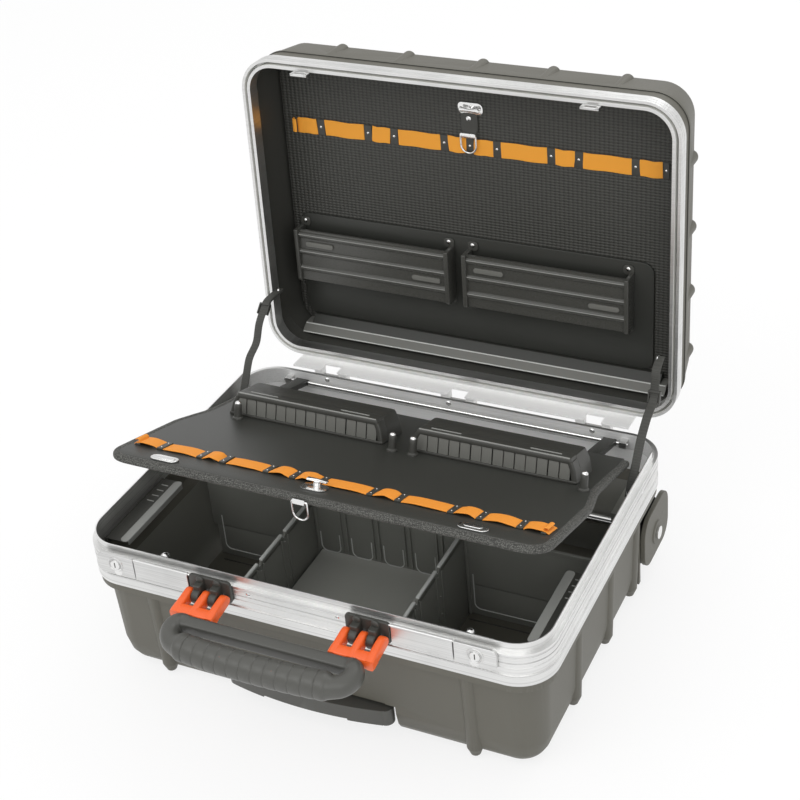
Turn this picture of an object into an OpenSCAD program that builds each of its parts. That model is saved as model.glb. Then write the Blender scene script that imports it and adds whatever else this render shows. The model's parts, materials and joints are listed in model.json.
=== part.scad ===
// Hard tool case with a hinged lid, a lift-up tool board and a pull-out trolley grip.
// Origin: middle of the resting plane. X to the right, Y to the back, Z up. Shown open.

/* [Case] */
// Outside width of the case
case_w = 480; // [470:1:520]
// Outside depth of the case
case_d = 350; // [346:1:380]
// Corner radius of the aluminium frames in plan
corner_r = 38; // [34:1:46]
// Height of the plane where the lid meets the base
parting_z = 150; // [148:1:156]
// Depth of the lid beyond the parting plane
lid_depth = 82; // [80:1:100]
// Thickness of the moulded shell walls
wall_t = 3; // [2.5:0.1:3]

/* [Opening] */
// Angle of the open lid
lid_angle = 92.3; // [80:0.1:95]
// Angle of the raised tool board
board_angle = 17.5; // [5:0.5:20]
// Droop of the carry handle below level
handle_angle = 7; // [0:1:30]

/* [Fittings] */
// Centre of the front fittings across the width
front_x = -8; // [-8:1:0]
// Spacing of the lid hinges
hinge_pitch = 155; // [130:1:165]
// Radius of the wheels
wheel_r = 36; // [30:1:37]
// Height of the dividers above the floor plane
divider_top = 112; // [80:1:114]

/* [Hidden] */
$fn = 48;
fit = 0.05;           // air round a shaft that turns or slides
tongue_h = 10;        // rim that enters the lid
tongue_back = 1;
frame_low = parting_z - 35.5;
frame_in = 5.2;       // inset of the frame's inner face
flange_in = 2.7;      // inset of the shell flange inside the frame
ledge_z = 106;
floor_z = 7;
tunnel_z = 43;        // raised floor over the trolley tubes
tunnel_x = -5;
tunnel_half = 81.5;
axle_y = 150;
axle_z = 50;
well_x = 204;         // inner side of the wheel wells
well_y = 112;
well_top = 92;
housing_x = case_w / 2 - 9;
tube_z = 25;
tube_half = 62;       // trolley tubes either side of the middle
hinge_y = case_d / 2 + 15.15;
hinge_z = parting_z - 14.45;
hinge_r = 4.4;
pin_y = -case_d / 2 - 12;   // carry handle pin
pin_z = parting_z - 11;
knuckle_in = 59;
finger_w = 8.2;
lobe_w = 9;
front_y = -case_d / 2;
lever_in = 105;
lever_out = 165;
lock_out = 206;
latch_y = front_y - 2.3;
latch_z = parting_z + 2.9;
board_x = 7;
board_y = case_d / 2 - 10.5;
board_z = parting_z - 8;
board_len = 318;
board_half = 224;
board_rear = 214;
board_back = 46;       // rear edge of the board, in front of its hinge line
board_top = 4;
bind_w = 9;
tray_n = 24;
lid_top = parting_z + lid_depth;
lid_lip = 9.6;        // width of the lid's mating face
lid_frame_h = 14.6;
board_depth = 57;     // lid board beyond the parting plane
lid_board_z = parting_z + board_depth;
band_y = -81;
band_w = 18;

// ---- colours ----
shell_c = [0.38, 0.37, 0.33];
black_c = [0.16, 0.16, 0.15];
alu_c = [0.82, 0.83, 0.83];
chrome_c = [0.88, 0.88, 0.88];
orange_c = [0.95, 0.38, 0.15];
band_c = [0.95, 0.6, 0.15];

// ---- helpers ----
// a piece drawn on the right, and its mirror image on the left
module pair(x = 0) {
    for (s = [-1, 1]) translate([x, 0, 0]) mirror([s < 0 ? 1 : 0, 0, 0]) children();
}
// rounded rectangle centred on the origin, from squares and circles
module plan(w, d, r) {
    square([w - 2 * r, d], center = true);
    square([w, d - 2 * r], center = true);
    for (sx = [-1, 1], sy = [-1, 1])
        translate([sx * (w / 2 - r), sy * (d / 2 - r)]) circle(r);
}
// slab of the case's own plan, drawn in by an inset, and by more at the left and right if asked
module slab(z0, z1, inset, r = 0, more = 0) {
    rr = r > 0 ? r : max(corner_r - inset, 4);
    translate([0, 0, z0]) linear_extrude(z1 - z0) plan(case_w - 2 * (inset + more), case_d - 2 * inset, rr);
}
module ring(z0, z1, outer, inner) {
    difference() {
        slab(z0, z1, outer);
        slab(z0 - 1, z1 + 1, inner);
    }
}
module box(x0, x1, y0, y1, z0, z1) {
    translate([x0, y0, z0]) cube([x1 - x0, y1 - y0, z1 - z0]);
}
module rod_x(x0, x1, y, z, r) {
    translate([x0, y, z]) rotate([0, 90, 0]) cylinder(h = x1 - x0, r = r);
}
module rod_y(y0, y1, x, z, r) {
    translate([x, y1, z]) rotate([90, 0, 0]) cylinder(h = y1 - y0, r = r);
}
// a small domed rivet head that grows along +Z
module dome(r, h) {
    intersection() {
        translate([0, 0, h - r * r / h / 2 - h / 2]) sphere(r * r / h / 2 + h / 2);
        cylinder(h = h + 1, r = r);
    }
}
// puts the closed lid into its open pose
module lid_open() {
    translate([0, hinge_y, hinge_z]) rotate([-lid_angle, 0, 0]) translate([0, -hinge_y, -hinge_z])
        children();
}
// board frame: x across, -y towards the front, z above the board's mid plane
module on_board() {
    translate([board_x, board_y, board_z]) rotate([-board_angle, 0, 0]) children();
}
// handle frame: origin on the pin, -y outwards
module on_handle() {
    translate([front_x, pin_y, pin_z]) rotate([handle_angle, 0, 0]) children();
}

// ---- base ----
wall_top_in = 9;
wall_mid_in = 12;     // inset 30 above the floor plane, where the bottom starts to round in
draft = atan((wall_mid_in - wall_top_in) / (99 - 30));
module base_outer() {
    slab(frame_low - 0.1, parting_z - 17, flange_in);
    slab(ledge_z, frame_low - 0.1, 1.5);
    hull() {
        slab(ledge_z - 0.1, ledge_z + 0.1, 1.5);
        slab(99, 99.1, wall_top_in, 31);
    }
    hull() {
        slab(99, 99.1, wall_top_in, 31);
        slab(30, 30.1, wall_mid_in, 27);
        slab(15, 15.1, 15, 25);
        slab(8, 8.1, 19, 22);
        slab(4, 4.1, 26, 17);
    }
}
module base_cavity() {
    slab(ledge_z + 2, parting_z, frame_in);
    hull() {
        slab(ledge_z + 1.9, ledge_z + 2.1, frame_in);
        slab(98, 98.1, wall_top_in + wall_t, 28);
    }
    hull() {
        slab(98, 98.1, wall_top_in + wall_t, 28);
        slab(30, 30.1, wall_mid_in + wall_t, 25);
        slab(16, 16.1, 19, 23);
        slab(floor_z, floor_z + 0.1, 25, 20);
    }
}
// a rib that follows the drafted wall, standing 3.5 proud of it
module rib(r = 8, proud = 3.5) {
    translate([0, r - proud + wall_top_in, 99]) rotate([draft, 0, 0]) {
        translate([0, 0, -87]) cylinder(h = 92, r = r);
        translate([0, 0, -95.5]) cylinder(h = 8.6, r1 = r - 3, r2 = r);
    }
}
front_rib_x = 165;
side_rib_y = [-66, 24, 100];
module base_ribs() {
    for (s = [-1, 1]) {
        translate([-4 + s * front_rib_x, front_y, 0]) rib();
        translate([s * front_rib_x, case_d / 2, 0]) rotate([0, 0, 180]) rib();
        for (y = side_rib_y) translate([s * case_w / 2, y, 0]) rotate([0, 0, s * 90]) rib();
    }
}
module base_shell() color(shell_c) difference() {
    union() {
        base_outer();
        base_ribs();
        pair() box(well_x + 8, housing_x - 0.1, well_y - 5, 164, 12, 99);
    }
    difference() {
        base_cavity();
        // liners of the wheel wells and of the trolley tunnel stay standing
        pair() box(well_x - wall_t, case_w, well_y - wall_t, case_d, 0, well_top + wall_t);
        box(tunnel_x - tunnel_half, tunnel_x + tunnel_half, front_y, 110 + wall_t, 0, tunnel_z);
        box(front_x - 95, front_x + 95, front_y, -117, 0, 42);
    }
    pair() box(well_x, case_w, well_y, case_d, -1, well_top);
    box(tunnel_x - tunnel_half + wall_t, tunnel_x + tunnel_half - wall_t,
        front_y - 1, 110, -1, tunnel_z - wall_t);
    box(front_x - 92, front_x + 92, front_y - 1, -120, -1, 39);
    rod_x(-well_x - 1, -well_x + 7, axle_y, axle_z, 6.02);
    rod_x(well_x - 7, well_x + 1, axle_y, axle_z, 6.02);
}
// feet under the floor, and the strap that crosses under the trolley tunnel
module rib_feet() color(black_c) {
    for (x = [-150, 150], y = [-118, 60]) translate([x, y, 0]) cylinder(h = 3.9, r = 12);
    box(tunnel_x - tunnel_half - 8, tunnel_x + tunnel_half + 8, -13, 13, 0, 3.9);
}
groove_z = [3.5, 9.3, 14.6];
module base_frame() color(alu_c) difference() {
    union() {
        difference() {
            ring(parting_z - 0.1, parting_z + tongue_h, 4, frame_in);
            // low along the back, where the lid's lip swings over it
            box(-case_w, case_w, case_d / 2 - corner_r, case_d, parting_z + tongue_back, parting_z + 20);
        }
        ring(parting_z - 16.9, parting_z, 0, frame_in);
        ring(parting_z - 24, parting_z - 16.9, 1.2, flange_in - 0.05);
        ring(frame_low, parting_z - 24, 0, flange_in - 0.05);
    }
    for (g = groove_z) ring(parting_z - g - 0.5, parting_z - g + 0.5, -1, 0.6);
}
module front_rivet(x, z) {
    translate([x, front_y - 0.02, z]) rotate([90, 0, 0]) dome(2.6, 1.1);
}
module frame_rivets() color(chrome_c) {
    for (x = [-51, 41]) front_rivet(x, parting_z - 6.4);
    for (x = [-150, -3, 160])
        translate([x, case_d / 2 - frame_in - 0.02, parting_z - 3.3]) rotate([90, 0, 0]) dome(3, 1.5);
    for (s = [-1, 1])
        translate([s * (case_w / 2 + 0.02), 92, parting_z - 6.4]) rotate([0, s * 90, 0]) dome(2.6, 1.1);
    translate([case_w / 2 - frame_in - 0.02, 88, parting_z - 6]) rotate([0, -90, 0]) dome(3, 1.5);
}

// ---- inside ----
plate_t = 2.6;
plate_y = 13;
notch_d = 5;
module divider(x, front) {
    difference() {
        union() {
            box(x, x + plate_t, -116.5, plate_y - 2.3, floor_z + 0.3, divider_top);
            box(x, x + plate_t, front, -116.4, 42.4, divider_top);
        }
        for (y = [-98, -50]) box(x - 1, x + plate_t + 1, y, y + 4, divider_top - notch_d, divider_top + 1);
    }
    // slim uprights that take the cross plates
    for (y = [-104, -92, -56, -44], s = [-1, 1]) {
        a = s < 0 ? x - 1.6 : x + plate_t;
        box(a, a + 1.6, y, y + 1.6, tunnel_z + 0.3, divider_top - notch_d);
    }
}
module divider_left() color(black_c) divider(-91, -153);
module divider_right() color(black_c) divider(78.4, -153);
module divider_back() color(black_c) difference() {
    union() {
        box(-217, 217, plate_y, plate_y + plate_t, 46.5, divider_top);
        box(-212, -89, plate_y, plate_y + plate_t, floor_z + 1.3, 46.6);
        box(79, 212, plate_y, plate_y + plate_t, floor_z + 1.3, 46.6);
        // cheeks that hold the two long dividers
        for (q = [[-94.2, floor_z + 1.3], [-87.8, 46.5], [75.2, 46.5], [81.6, floor_z + 1.3]])
            box(q[0], q[0] + 2.6, plate_y - 2, plate_y, q[1], divider_top);
        // slot rails of the middle bay
        for (x = [-55, -18, 18, 54]) for (d = [-4, 2.4])
            box(x + d, x + d + 1.6, plate_y - 2.4, plate_y, 50, divider_top - 2);
    }
    for (x = [-50, -14, 22]) box(x, x + 26, plate_y - 1, plate_y + plate_t + 1, 46, 49);
}
rail_x = case_w / 2 - frame_in - 0.1;
module rail(s) {
    mirror([s < 0 ? 1 : 0, 0, 0]) {
        box(209, rail_x, -139, -36, parting_z - 15, parting_z - 13);
        box(rail_x - 2, rail_x, -139, -36, parting_z - 22, parting_z - 15);
        box(209, 211, -139, -36, parting_z - 19, parting_z - 15);
    }
}
module side_rail_left() color([0.75, 0.76, 0.76]) rail(-1);
module side_rail_right() color([0.75, 0.76, 0.76]) rail(1);

// ---- wheels ----
module axle_tube() color(chrome_c) {
    difference() {
        rod_x(-well_x + 0.1, well_x - 0.1, axle_y, axle_z, 6);
        rod_x(-well_x - 1, well_x + 1, axle_y, axle_z, 4);
    }
    for (s = [-1, 1])
        difference() {
            rod_x(s * 195 - 3, s * 195 + 3, axle_y, axle_z, 8);
            rod_x(s * 195 - 4, s * 195 + 4, axle_y, axle_z, 6.01);
        }
}
module housing(s) color(shell_c) mirror([s < 0 ? 1 : 0, 0, 0]) difference() {
    union() {
        translate([housing_x, axle_y + 1, 54]) rotate([0, 90, 0]) linear_extrude(5) plan(60, 78, 20);
        translate([housing_x + 4.9, axle_y, axle_z]) rotate([0, 90, 0]) cylinder(h = 1.5, r = 13);
        rod_x(housing_x - 3, housing_x + 0.1, axle_y, axle_z, 9);
    }
    rod_x(housing_x - 4, case_w, axle_y, axle_z, 4.03);
}
module wheel_housing_left() housing(-1);
module wheel_housing_right() housing(1);
module axle_bolts() color(chrome_c) for (s = [-1, 1]) mirror([s < 0 ? 1 : 0, 0, 0]) {
    rod_x(well_x - 20, housing_x + 6.5, axle_y, axle_z, 3.98);
    rod_x(housing_x + 6.5, housing_x + 9, axle_y, axle_z, 7);
}
module wheel(s) mirror([s < 0 ? 1 : 0, 0, 0]) color([0.1, 0.1, 0.1]) difference() {
    translate([well_x + 2, axle_y, axle_z]) rotate([0, 90, 0]) rotate_extrude() {
        difference() {
            union() {
                square([wheel_r - 3, 21]);
                translate([0, 3]) square([wheel_r, 15]);
                for (z = [3, 18]) translate([wheel_r - 3, z]) circle(3);
            }
            translate([12, -1]) square([12, 5]);
            translate([12, 17]) square([12, 5]);
        }
    }
    rod_x(well_x, case_w, axle_y, axle_z, 3.98 + fit);
}
module wheel_left() wheel(-1);
module wheel_right() wheel(1);

// ---- trolley ----
tube_r = 9;
sleeve_r = 7.4;
bar_r = 5.6;
tube_back = 106;
tube_front = -108;
module tube_pair() {
    for (s = [-1, 1]) translate([front_x + s * tube_half, 0, 0]) children();
}
module tube_clamps() color(black_c) tube_pair() for (y = [-104, 84]) difference() {
    box(-11.5, 11.5, y, y + 14, tube_z - 11, tunnel_z - wall_t - 0.1);
    rod_y(y - 1, y + 15, 0, tube_z, tube_r + 0.02);
}
module trolley_tubes() color(alu_c) tube_pair() difference() {
    rod_y(tube_front, tube_back, 0, tube_z, tube_r);
    rod_y(tube_front - 1, tube_back - 2, 0, tube_z, sleeve_r + fit);
}
module trolley_sleeves() color(chrome_c) tube_pair() difference() {
    rod_y(tube_front - 4, tube_back - 5, 0, tube_z, sleeve_r);
    rod_y(tube_front - 5, tube_back - 8, 0, tube_z, bar_r + fit);
}
module trolley_rods() color(chrome_c) tube_pair()
    rod_y(-150, tube_back - 12, 0, tube_z, bar_r);
bow_r = 420;
module trolley_grip() color(black_c) difference() {
    translate([front_x, 0, tube_z - 9]) linear_extrude(18) union() {
        intersection() {
            translate([0, -176 + bow_r]) circle(bow_r, $fn = 180);
            translate([-80, -180]) square([160, 28]);
        }
        for (s = [-1, 1]) translate([s * 80, -160]) circle(8);
    }
    tube_pair() rod_y(-155, -140, 0, tube_z, bar_r + 0.02);
    box(front_x - 45, front_x + 45, -200, -100, tube_z - 10, tube_z - 7);
}

// ---- latches ----
slot_off = 158;
plate_y0 = front_y + frame_in + 0.1;
module latch_plates() color(alu_c) for (s = [-1, 1]) difference() {
    union() {
        translate([front_x + s * 152, 0, 0]) {
            box(-44, 44, plate_y0, front_y + 16, parting_z - 2.4, parting_z - 0.4);
            box(-44, 44, plate_y0, plate_y0 + 2, parting_z - 14, parting_z - 2.3);
        }
    }
    translate([front_x + s * slot_off, 0, 0])
        box(-11, 11, front_y + 8.3, front_y + 12.7, parting_z - 9, parting_z);
}
module latch_domes() color(chrome_c) for (x = [-151, 165]) translate([x, front_y + 17, parting_z - 0.38]) {
    cylinder(h = 1.2, r = 4.4);
    translate([0, 0, 1.2]) dome(3.6, 2.4);
}
lock_t = 3.9;
key_off = 186;        // lock cylinders either side of the handle's middle
module lock_bodies() color(alu_c) pair(front_x)
    difference() {
        union() {
            translate([0, front_y - 0.3, 0]) rotate([90, 0, 0]) linear_extrude(lock_t) {
                translate([lever_out + 0.6, parting_z - 18.5]) square([lock_out - lever_out - 6.6, 23]);
                translate([lever_out + 5, parting_z - 12.5]) square([lock_out - lever_out - 5, 11]);
                for (z = [parting_z - 12.5, parting_z - 1.5]) translate([lock_out - 6, z]) circle(6);
            }
            translate([key_off, front_y - 4.1, parting_z - 6]) rotate([90, 0, 0]) cylinder(h = 0.7, r = 8.5);
        }
        rod_y(front_y - 6, front_y - 1, key_off, parting_z - 6, 5 + fit);
        rod_x(lever_out, lever_out + 8, latch_y, latch_z, 1.02);
    }
module key_cylinder(s) color(chrome_c)
    translate([front_x + s * key_off, front_y - 1.1, parting_z - 6]) rotate([90, 0, 0]) difference() {
        union() {
            cylinder(h = 4.1, r = 5);
            translate([0, 0, 4]) cylinder(h = 0.5, r = 4.4);
        }
        translate([-3, -0.6, 2.5]) cube([6, 1.2, 3]);
    }
module key_cylinder_left() key_cylinder(-1);
module key_cylinder_right() key_cylinder(1);
module latch_pins() color(chrome_c) pair(front_x)
    rod_x(lever_in - 6, lever_out + 7.5, latch_y, latch_z, 1);
module latch_lever(s) color(alu_c) translate([front_x, 0, 0]) mirror([s < 0 ? 1 : 0, 0, 0]) difference() {
    union() {
        box(lever_in, lever_out, front_y - 0.4 - 3.8, front_y - 0.4, parting_z - 18.5, latch_z);
        rod_x(lever_in, lever_out, latch_y, latch_z, 1.9);
    }
    rod_x(lever_in - 1, lever_out + 1, latch_y, latch_z, 1 + fit);
}
module latch_lever_left() latch_lever(-1);
module latch_lever_right() latch_lever(1);

// ---- carry handle ----
bracket_w = 3 * lobe_w + 2 * finger_w + 1.6;
function finger_at(i) = knuckle_in + lobe_w + 0.4 + i * (finger_w + lobe_w + 0.8);
function lobe_at(i) = knuckle_in + i * (finger_w + lobe_w + 0.8);
module handle_brackets() color(black_c) pair(front_x)
    difference() {
        union() {
            box(knuckle_in, knuckle_in + bracket_w - 0.4, front_y - 4, front_y - 0.1,
                parting_z - 19, parting_z + 5.5);
            for (i = [0, 1]) {
                box(finger_at(i), finger_at(i) + finger_w, pin_y, front_y - 3.9, pin_z - 5, pin_z + 14);
                rod_x(finger_at(i), finger_at(i) + finger_w, pin_y, pin_z, 6.2);
                translate([finger_at(i), pin_y, pin_z]) cube([finger_w, 6, 12]);
            }
        }
        for (i = [0, 1]) rod_x(finger_at(i) - 1, finger_at(i) + finger_w + 1, pin_y, pin_z, 2.52);
        rod_x(lever_in - 7, lever_in, latch_y, latch_z, 1.02);
    }
module handle_pins() color(chrome_c) pair(front_x)
    rod_x(knuckle_in + 1, knuckle_in + bracket_w - 1.6, pin_y, pin_z, 2.5);
arm_len = 28;
module handle_knuckles() color(orange_c) on_handle() pair() difference() {
    union() {
        for (i = [0, 1, 2]) {
            rod_x(lobe_at(i), lobe_at(i) + lobe_w, 0, 0, 6.6);
            box(lobe_at(i), lobe_at(i) + lobe_w, -arm_len + 4, 0, -6, 6.6);
        }
        box(lobe_at(0), lobe_at(2) + lobe_w, -arm_len + 0.1, -arm_len + 10, -6.5, 6);
    }
    rod_x(knuckle_in - 1, knuckle_in + bracket_w, 0, 0, 2.5 + fit);
}
leg_x = 92;           // legs of the loop, either side of its middle
leg_r = 10;
bend_r = 15;          // path radius of the loop's two corners
grip_y = -62;
grip_r = 12.5;
grip_bow = 900;
module handle_grip() color(black_c) on_handle() {
    // inner bar, two legs, two round corners and the bowed grip
    box(-leg_x, leg_x, -arm_len - 8, -arm_len, -7, 7);
    for (s = [-1, 1]) {
        rod_y(grip_y + bend_r, -arm_len, s * leg_x, 0, leg_r);
        translate([s * (leg_x - bend_r), grip_y + bend_r, 0]) intersection() {
            rotate_extrude() translate([bend_r, 0]) circle(leg_r);
            translate([s < 0 ? -40 : 0, -40, -20]) cube([40, 40.1, 40]);
        }
    }
    translate([0, grip_bow + grip_y, 0]) intersection() {
        rotate_extrude($fn = 160) translate([grip_bow, 0]) circle(grip_r);
        translate([-leg_x + bend_r - 3, -grip_bow - 30, -20]) cube([2 * (leg_x - bend_r) + 6, 60, 40]);
    }
}

// ---- lid hinges ----
hinge_w = 39;
tab_half = 9.6;
hinge_x = [-hinge_pitch, 0, hinge_pitch];
module hinge_arms() color(alu_c) for (x = hinge_x) difference() {
    union() {
        box(x - tab_half, x + tab_half, case_d / 2 + 0.05, hinge_y, hinge_z - hinge_r, hinge_z + hinge_r);
        rod_x(x - tab_half, x + tab_half, hinge_y, hinge_z, hinge_r);
    }
    rod_x(x - 20, x + 20, hinge_y, hinge_z, 2.22);
}
module hinge_pins() color(chrome_c) for (x = hinge_x)
    rod_x(x - hinge_w / 2 - 1, x + hinge_w / 2 + 1, hinge_y, hinge_z, 2.2);
leaf_in = 2;
module lid_hinge_leaf() color(alu_c) lid_open() difference() {
    union() {
        box(-200, 195, case_d / 2 + leaf_in, case_d / 2 + leaf_in + 2, parting_z - 21.6, parting_z + 12);
        box(-200, 195, case_d / 2 + 0.05, case_d / 2 + leaf_in + 0.1, parting_z + 1, parting_z + 12);
        for (x = hinge_x, s = [-1, 1]) {
            a = x + (s < 0 ? -hinge_w / 2 : tab_half + 0.4);
            b = x + (s < 0 ? -tab_half - 0.4 : hinge_w / 2);
            box(a, b, case_d / 2 + leaf_in + 1, hinge_y, hinge_z - hinge_r, hinge_z + hinge_r);
            rod_x(a, b, hinge_y, hinge_z, hinge_r);
        }
    }
    for (x = hinge_x) {
        rod_x(x - 30, x + 30, hinge_y, hinge_z, 2.2 + fit);
        box(x - tab_half - 0.4, x + tab_half + 0.4, case_d / 2, hinge_y + 9,
            hinge_z - 20, hinge_z + hinge_r + 2);
    }
}

// ---- tool board in the base ----
module board_brackets() color(alu_c) for (x = [-195, 196]) difference() {
    union() {
        box(x - 4, x + 4, board_y - 3.4, case_d / 2 - frame_in - 0.1, board_z - 3.4, board_z + 3.4);
        rod_x(x - 4, x + 4, board_y, board_z, 3.4);
    }
    rod_x(x - 5, x + 5, board_y, board_z, 2 + fit);
}
module board_rod() color(chrome_c) on_board()
    rod_x(-208, 194, 0, 0, 2);
// outline of the board, drawn in by an inset
module board_outline(i) {
    r = 22 - i;
    h = board_half - i;
    polygon([[-board_rear + i, -board_back - i], [-board_rear + i, -152], [-h, -195], [-h, -board_len + 22],
        [h, -board_len + 22], [h, -195], [board_rear - i, -152], [board_rear - i, -board_back - i]]);
    for (s = [-1, 1]) translate([s * (h - r), -board_len + i + r]) circle(r);
    translate([-h + r, -board_len + i]) square([2 * (h - r), 30]);
}
module base_board() color([0.24, 0.24, 0.22]) on_board() difference() {
    union() {
        translate([0, 0, -board_top + 0.4]) linear_extrude(2 * board_top - 0.8) board_outline(bind_w);
        // two arms carry the board on its rod
        for (x = [-186, 174]) {
            box(x - 7, x + 7, -board_back - bind_w - 6, 0, -3.2, 3.2);
            rod_x(x - 7, x + 7, 0, 0, 3.2);
        }
    }
    rod_x(-230, 230, 0, 0, 2.02);
}
module board_binding() color([0.3, 0.3, 0.28]) on_board() difference() {
    translate([0, 0, -board_top]) linear_extrude(2 * board_top) board_outline(0);
    translate([0, 0, -board_top - 1]) linear_extrude(2 * board_top + 2) board_outline(bind_w - 0.05);
    box(-300, 300, -board_back - bind_w - 1, 10, -10, 10);
}
// segments of the elastic band on the board, start and end across the width
board_segs = [[-207, -180], [-174, -136], [-130, -112], [-104, -64], [-58, -36], [-30, -8], [-2, 44],
    [50, 72], [78, 124], [130, 152], [158, 190], [196, 221]];
module board_band() color(band_c) on_board() for (g = board_segs)
    translate([-board_x, 0, 0]) box(g[0], g[1], -283, -264, board_top - 0.35, board_top + 1.4);
module board_clips() color(black_c) on_board() for (i = [0:len(board_segs) - 2])
    translate([-board_x + (board_segs[i][1] + board_segs[i + 1][0]) / 2, -273.5, board_top - 0.35])
        translate([-2.6, -8, 0]) cube([5.2, 16, 2.2]);
tray_x = [-93, 111];
tray_w = 176;
slat_n = 14;
module tool_trays() color(black_c) on_board() for (x = tray_x) translate([x - board_x, 0, board_top - 0.35]) {
    difference() {
        box(-tray_w / 2, tray_w / 2, -150, -105, 0, tray_n);
        box(-tray_w / 2 + 3, tray_w / 2 - 3, -146.5, -104, 3, tray_n - 3);
        box(-tray_w / 2 + 6, tray_w / 2 - 6, -151, -146, 4, tray_n - 4);
    }
    // flexible slats that close the front window
    for (i = [0:slat_n - 1]) translate([-tray_w / 2 + 6 + (i + 0.5) * (tray_w - 12) / slat_n, 0, 0])
        box(-5.4, 5.4, -148.6, -147.2, 3.9, tray_n - 3.9);
}
post_x = [-165, 10, 32, 209];
module tray_posts() color(black_c) on_board() for (x = post_x)
    translate([x - board_x, -160, board_top - 0.35]) cylinder(h = 16, r = 5);
module board_ovals() color(chrome_c) on_board() {
    for (x = [-158, 158]) translate([x - board_x, -303, board_top + 0.02]) {
        linear_extrude(1.2) plan(30, 13, 6);
        translate([0, 0, 1.1]) linear_extrude(0.6) plan(20, 7, 3.4);
    }
    for (x = post_x) translate([x - board_x, -160, board_top + 15.7]) dome(4.6, 3);
}
module board_tab() color(chrome_c) on_board() translate([-4 - board_x, 0, 0]) difference() {
    union() {
        translate([0, -292.5, board_top + 0.02]) linear_extrude(1) plan(26, 17, 7);
        box(-6, 6, -board_len - 4.6, -board_len - 0.1, -2.4, 2.4);
    }
    rod_x(-10, 10, -board_len - 2.6, -0.4, 1.2);
}
module board_lock() color(chrome_c) on_board() translate([-4 - board_x, -287.5, board_top + 1.05]) {
    cylinder(h = 3, r = 3.2);
    translate([-11, -2, 3]) cube([22, 5.5, 3]);
}
// a wire ring with a straight bar on the X axis, hanging down
module d_ring(w, h, r) {
    rod_x(-w / 2, w / 2, 0, 0, r);
    for (s = [-1, 1]) {
        translate([s * w / 2, 0, -h + w / 2]) cylinder(h = h - w / 2, r = r);
        translate([s * w / 2, 0, 0]) sphere(r);
    }
    translate([0, 0, -h + w / 2]) rotate([90, 0, 0]) intersection() {
        rotate_extrude() translate([w / 2, 0]) circle(r);
        translate([-w, -w, -w]) cube([2 * w, w, 2 * w]);
    }
}
module board_ring() color(chrome_c) on_board() translate([-4 - board_x, -board_len - 2.6, -0.4])
    rotate([board_angle, 0, 0]) d_ring(15.5, 20, 1.1);

// ---- lid, drawn closed ----
module lid_frame() color(alu_c) lid_open() difference() {
    ring(parting_z, parting_z + lid_frame_h, 0, lid_lip);
    ring(parting_z - 1, parting_z + 11, 3.2, 6);
    for (g = [3.5, 8.5]) ring(parting_z + g - 0.5, parting_z + g + 0.5, -1, 0.6);
}
shoulder_z = parting_z + 35;
lid_flange = parting_z + lid_frame_h + 0.05;
lid_ribs_x = [-155, -77, 7, 84, 162];
lid_ribs_y = [-93, -17, 56, 126];
rib_r = 7;
rib_proud = 2.6;
// a rib of the lid at the wall's own inset, closed by a ball at the top
module lid_rib(inset = 5) {
    translate([0, inset - rib_proud + rib_r, shoulder_z - 2]) {
        cylinder(h = lid_depth - 44, r = rib_r);
        translate([0, 0, lid_depth - 44]) sphere(rib_r);
    }
}
module lid_shell() color(shell_c) lid_open() difference() {
    union() {
        slab(lid_flange, shoulder_z - 3, 2.8);
        slab(shoulder_z - 3.1, shoulder_z, 1.8);
        hull() {
            slab(shoulder_z - 0.1, shoulder_z, 2.6);
            slab(shoulder_z + 3, shoulder_z + 3.1, 4, 34);
            slab(lid_top - 8, lid_top - 7.9, 6.5, 32, 3);
            slab(lid_top - 2.5, lid_top - 2.4, 9.5, 30, 4);
            slab(lid_top - 0.1, lid_top, 15, 26, 5);
        }
        for (x = lid_ribs_x) {
            translate([x, front_y, 0]) lid_rib();
            translate([-x, case_d / 2, 0]) rotate([0, 0, 180]) lid_rib();
        }
        for (y = lid_ribs_y, s = [-1, 1])
            translate([s * case_w / 2, y, 0]) rotate([0, 0, s * 90]) lid_rib(7);
    }
    slab(lid_flange - 1, shoulder_z, 5);
    hull() {
        slab(shoulder_z - 0.1, shoulder_z, 5);
        slab(lid_top - 9, lid_top - 8.9, 9.5, 29, 3);
        slab(lid_top - wall_t - 0.1, lid_top - wall_t, 16, 25, 5);
    }
}
hook_half = 9.5;
hook_y = front_y + lid_lip + 0.05;
module lid_fittings() color(alu_c) lid_open() {
    // hooks that drop into the slots of the latch plates
    for (s = [-1, 1]) translate([front_x + s * slot_off, 0, 0]) difference() {
        union() {
            box(-hook_half, hook_half, hook_y, hook_y + 1.8, parting_z - 8, parting_z + 1);
            box(-6.5, 6.5, hook_y, hook_y + 1.8, parting_z, parting_z + 14);
            box(-hook_half, hook_half, hook_y + 1.7, hook_y + 2.9, parting_z - 8, parting_z - 6);
        }
        box(-6, 6, hook_y - 1, hook_y + 2.5, parting_z - 5, parting_z - 1.5);
    }
    // rivets in the frame's mating face and on the back frame
    for (x = [-185, -62, 62, 185])
        translate([x, front_y + lid_lip + 0.02, parting_z + 7]) rotate([-90, 0, 0]) dome(2.4, 1);
}
module lid_board() color([0.24, 0.24, 0.22]) lid_open() translate([0, 0, lid_board_z])
    linear_extrude(3) plan(case_w - 26, case_d - 26, 24);
panel_y0 = 24;
panel_y1 = 150;
module lid_panel() color(black_c) lid_open() difference() {
    box(-218, 197, panel_y0, panel_y1, lid_board_z - 2.6, lid_board_z - 0.05);
    box(-230, -217, 10, 28, 190, 215);
}
module lid_strip() color(black_c) lid_open() difference() {
    box(-208, 208, 150.1, 166, lid_board_z - 26, lid_board_z - 0.05);
    translate([-230, 150.1, lid_board_z - 26]) rotate([38, 0, 0])
        translate([0, -20, -30]) cube([460, 50, 30]);
}
pocket_x = [-122, 82];
pocket_w = 188;
pocket_y = [38, 100];
pocket_h = 20;
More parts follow.
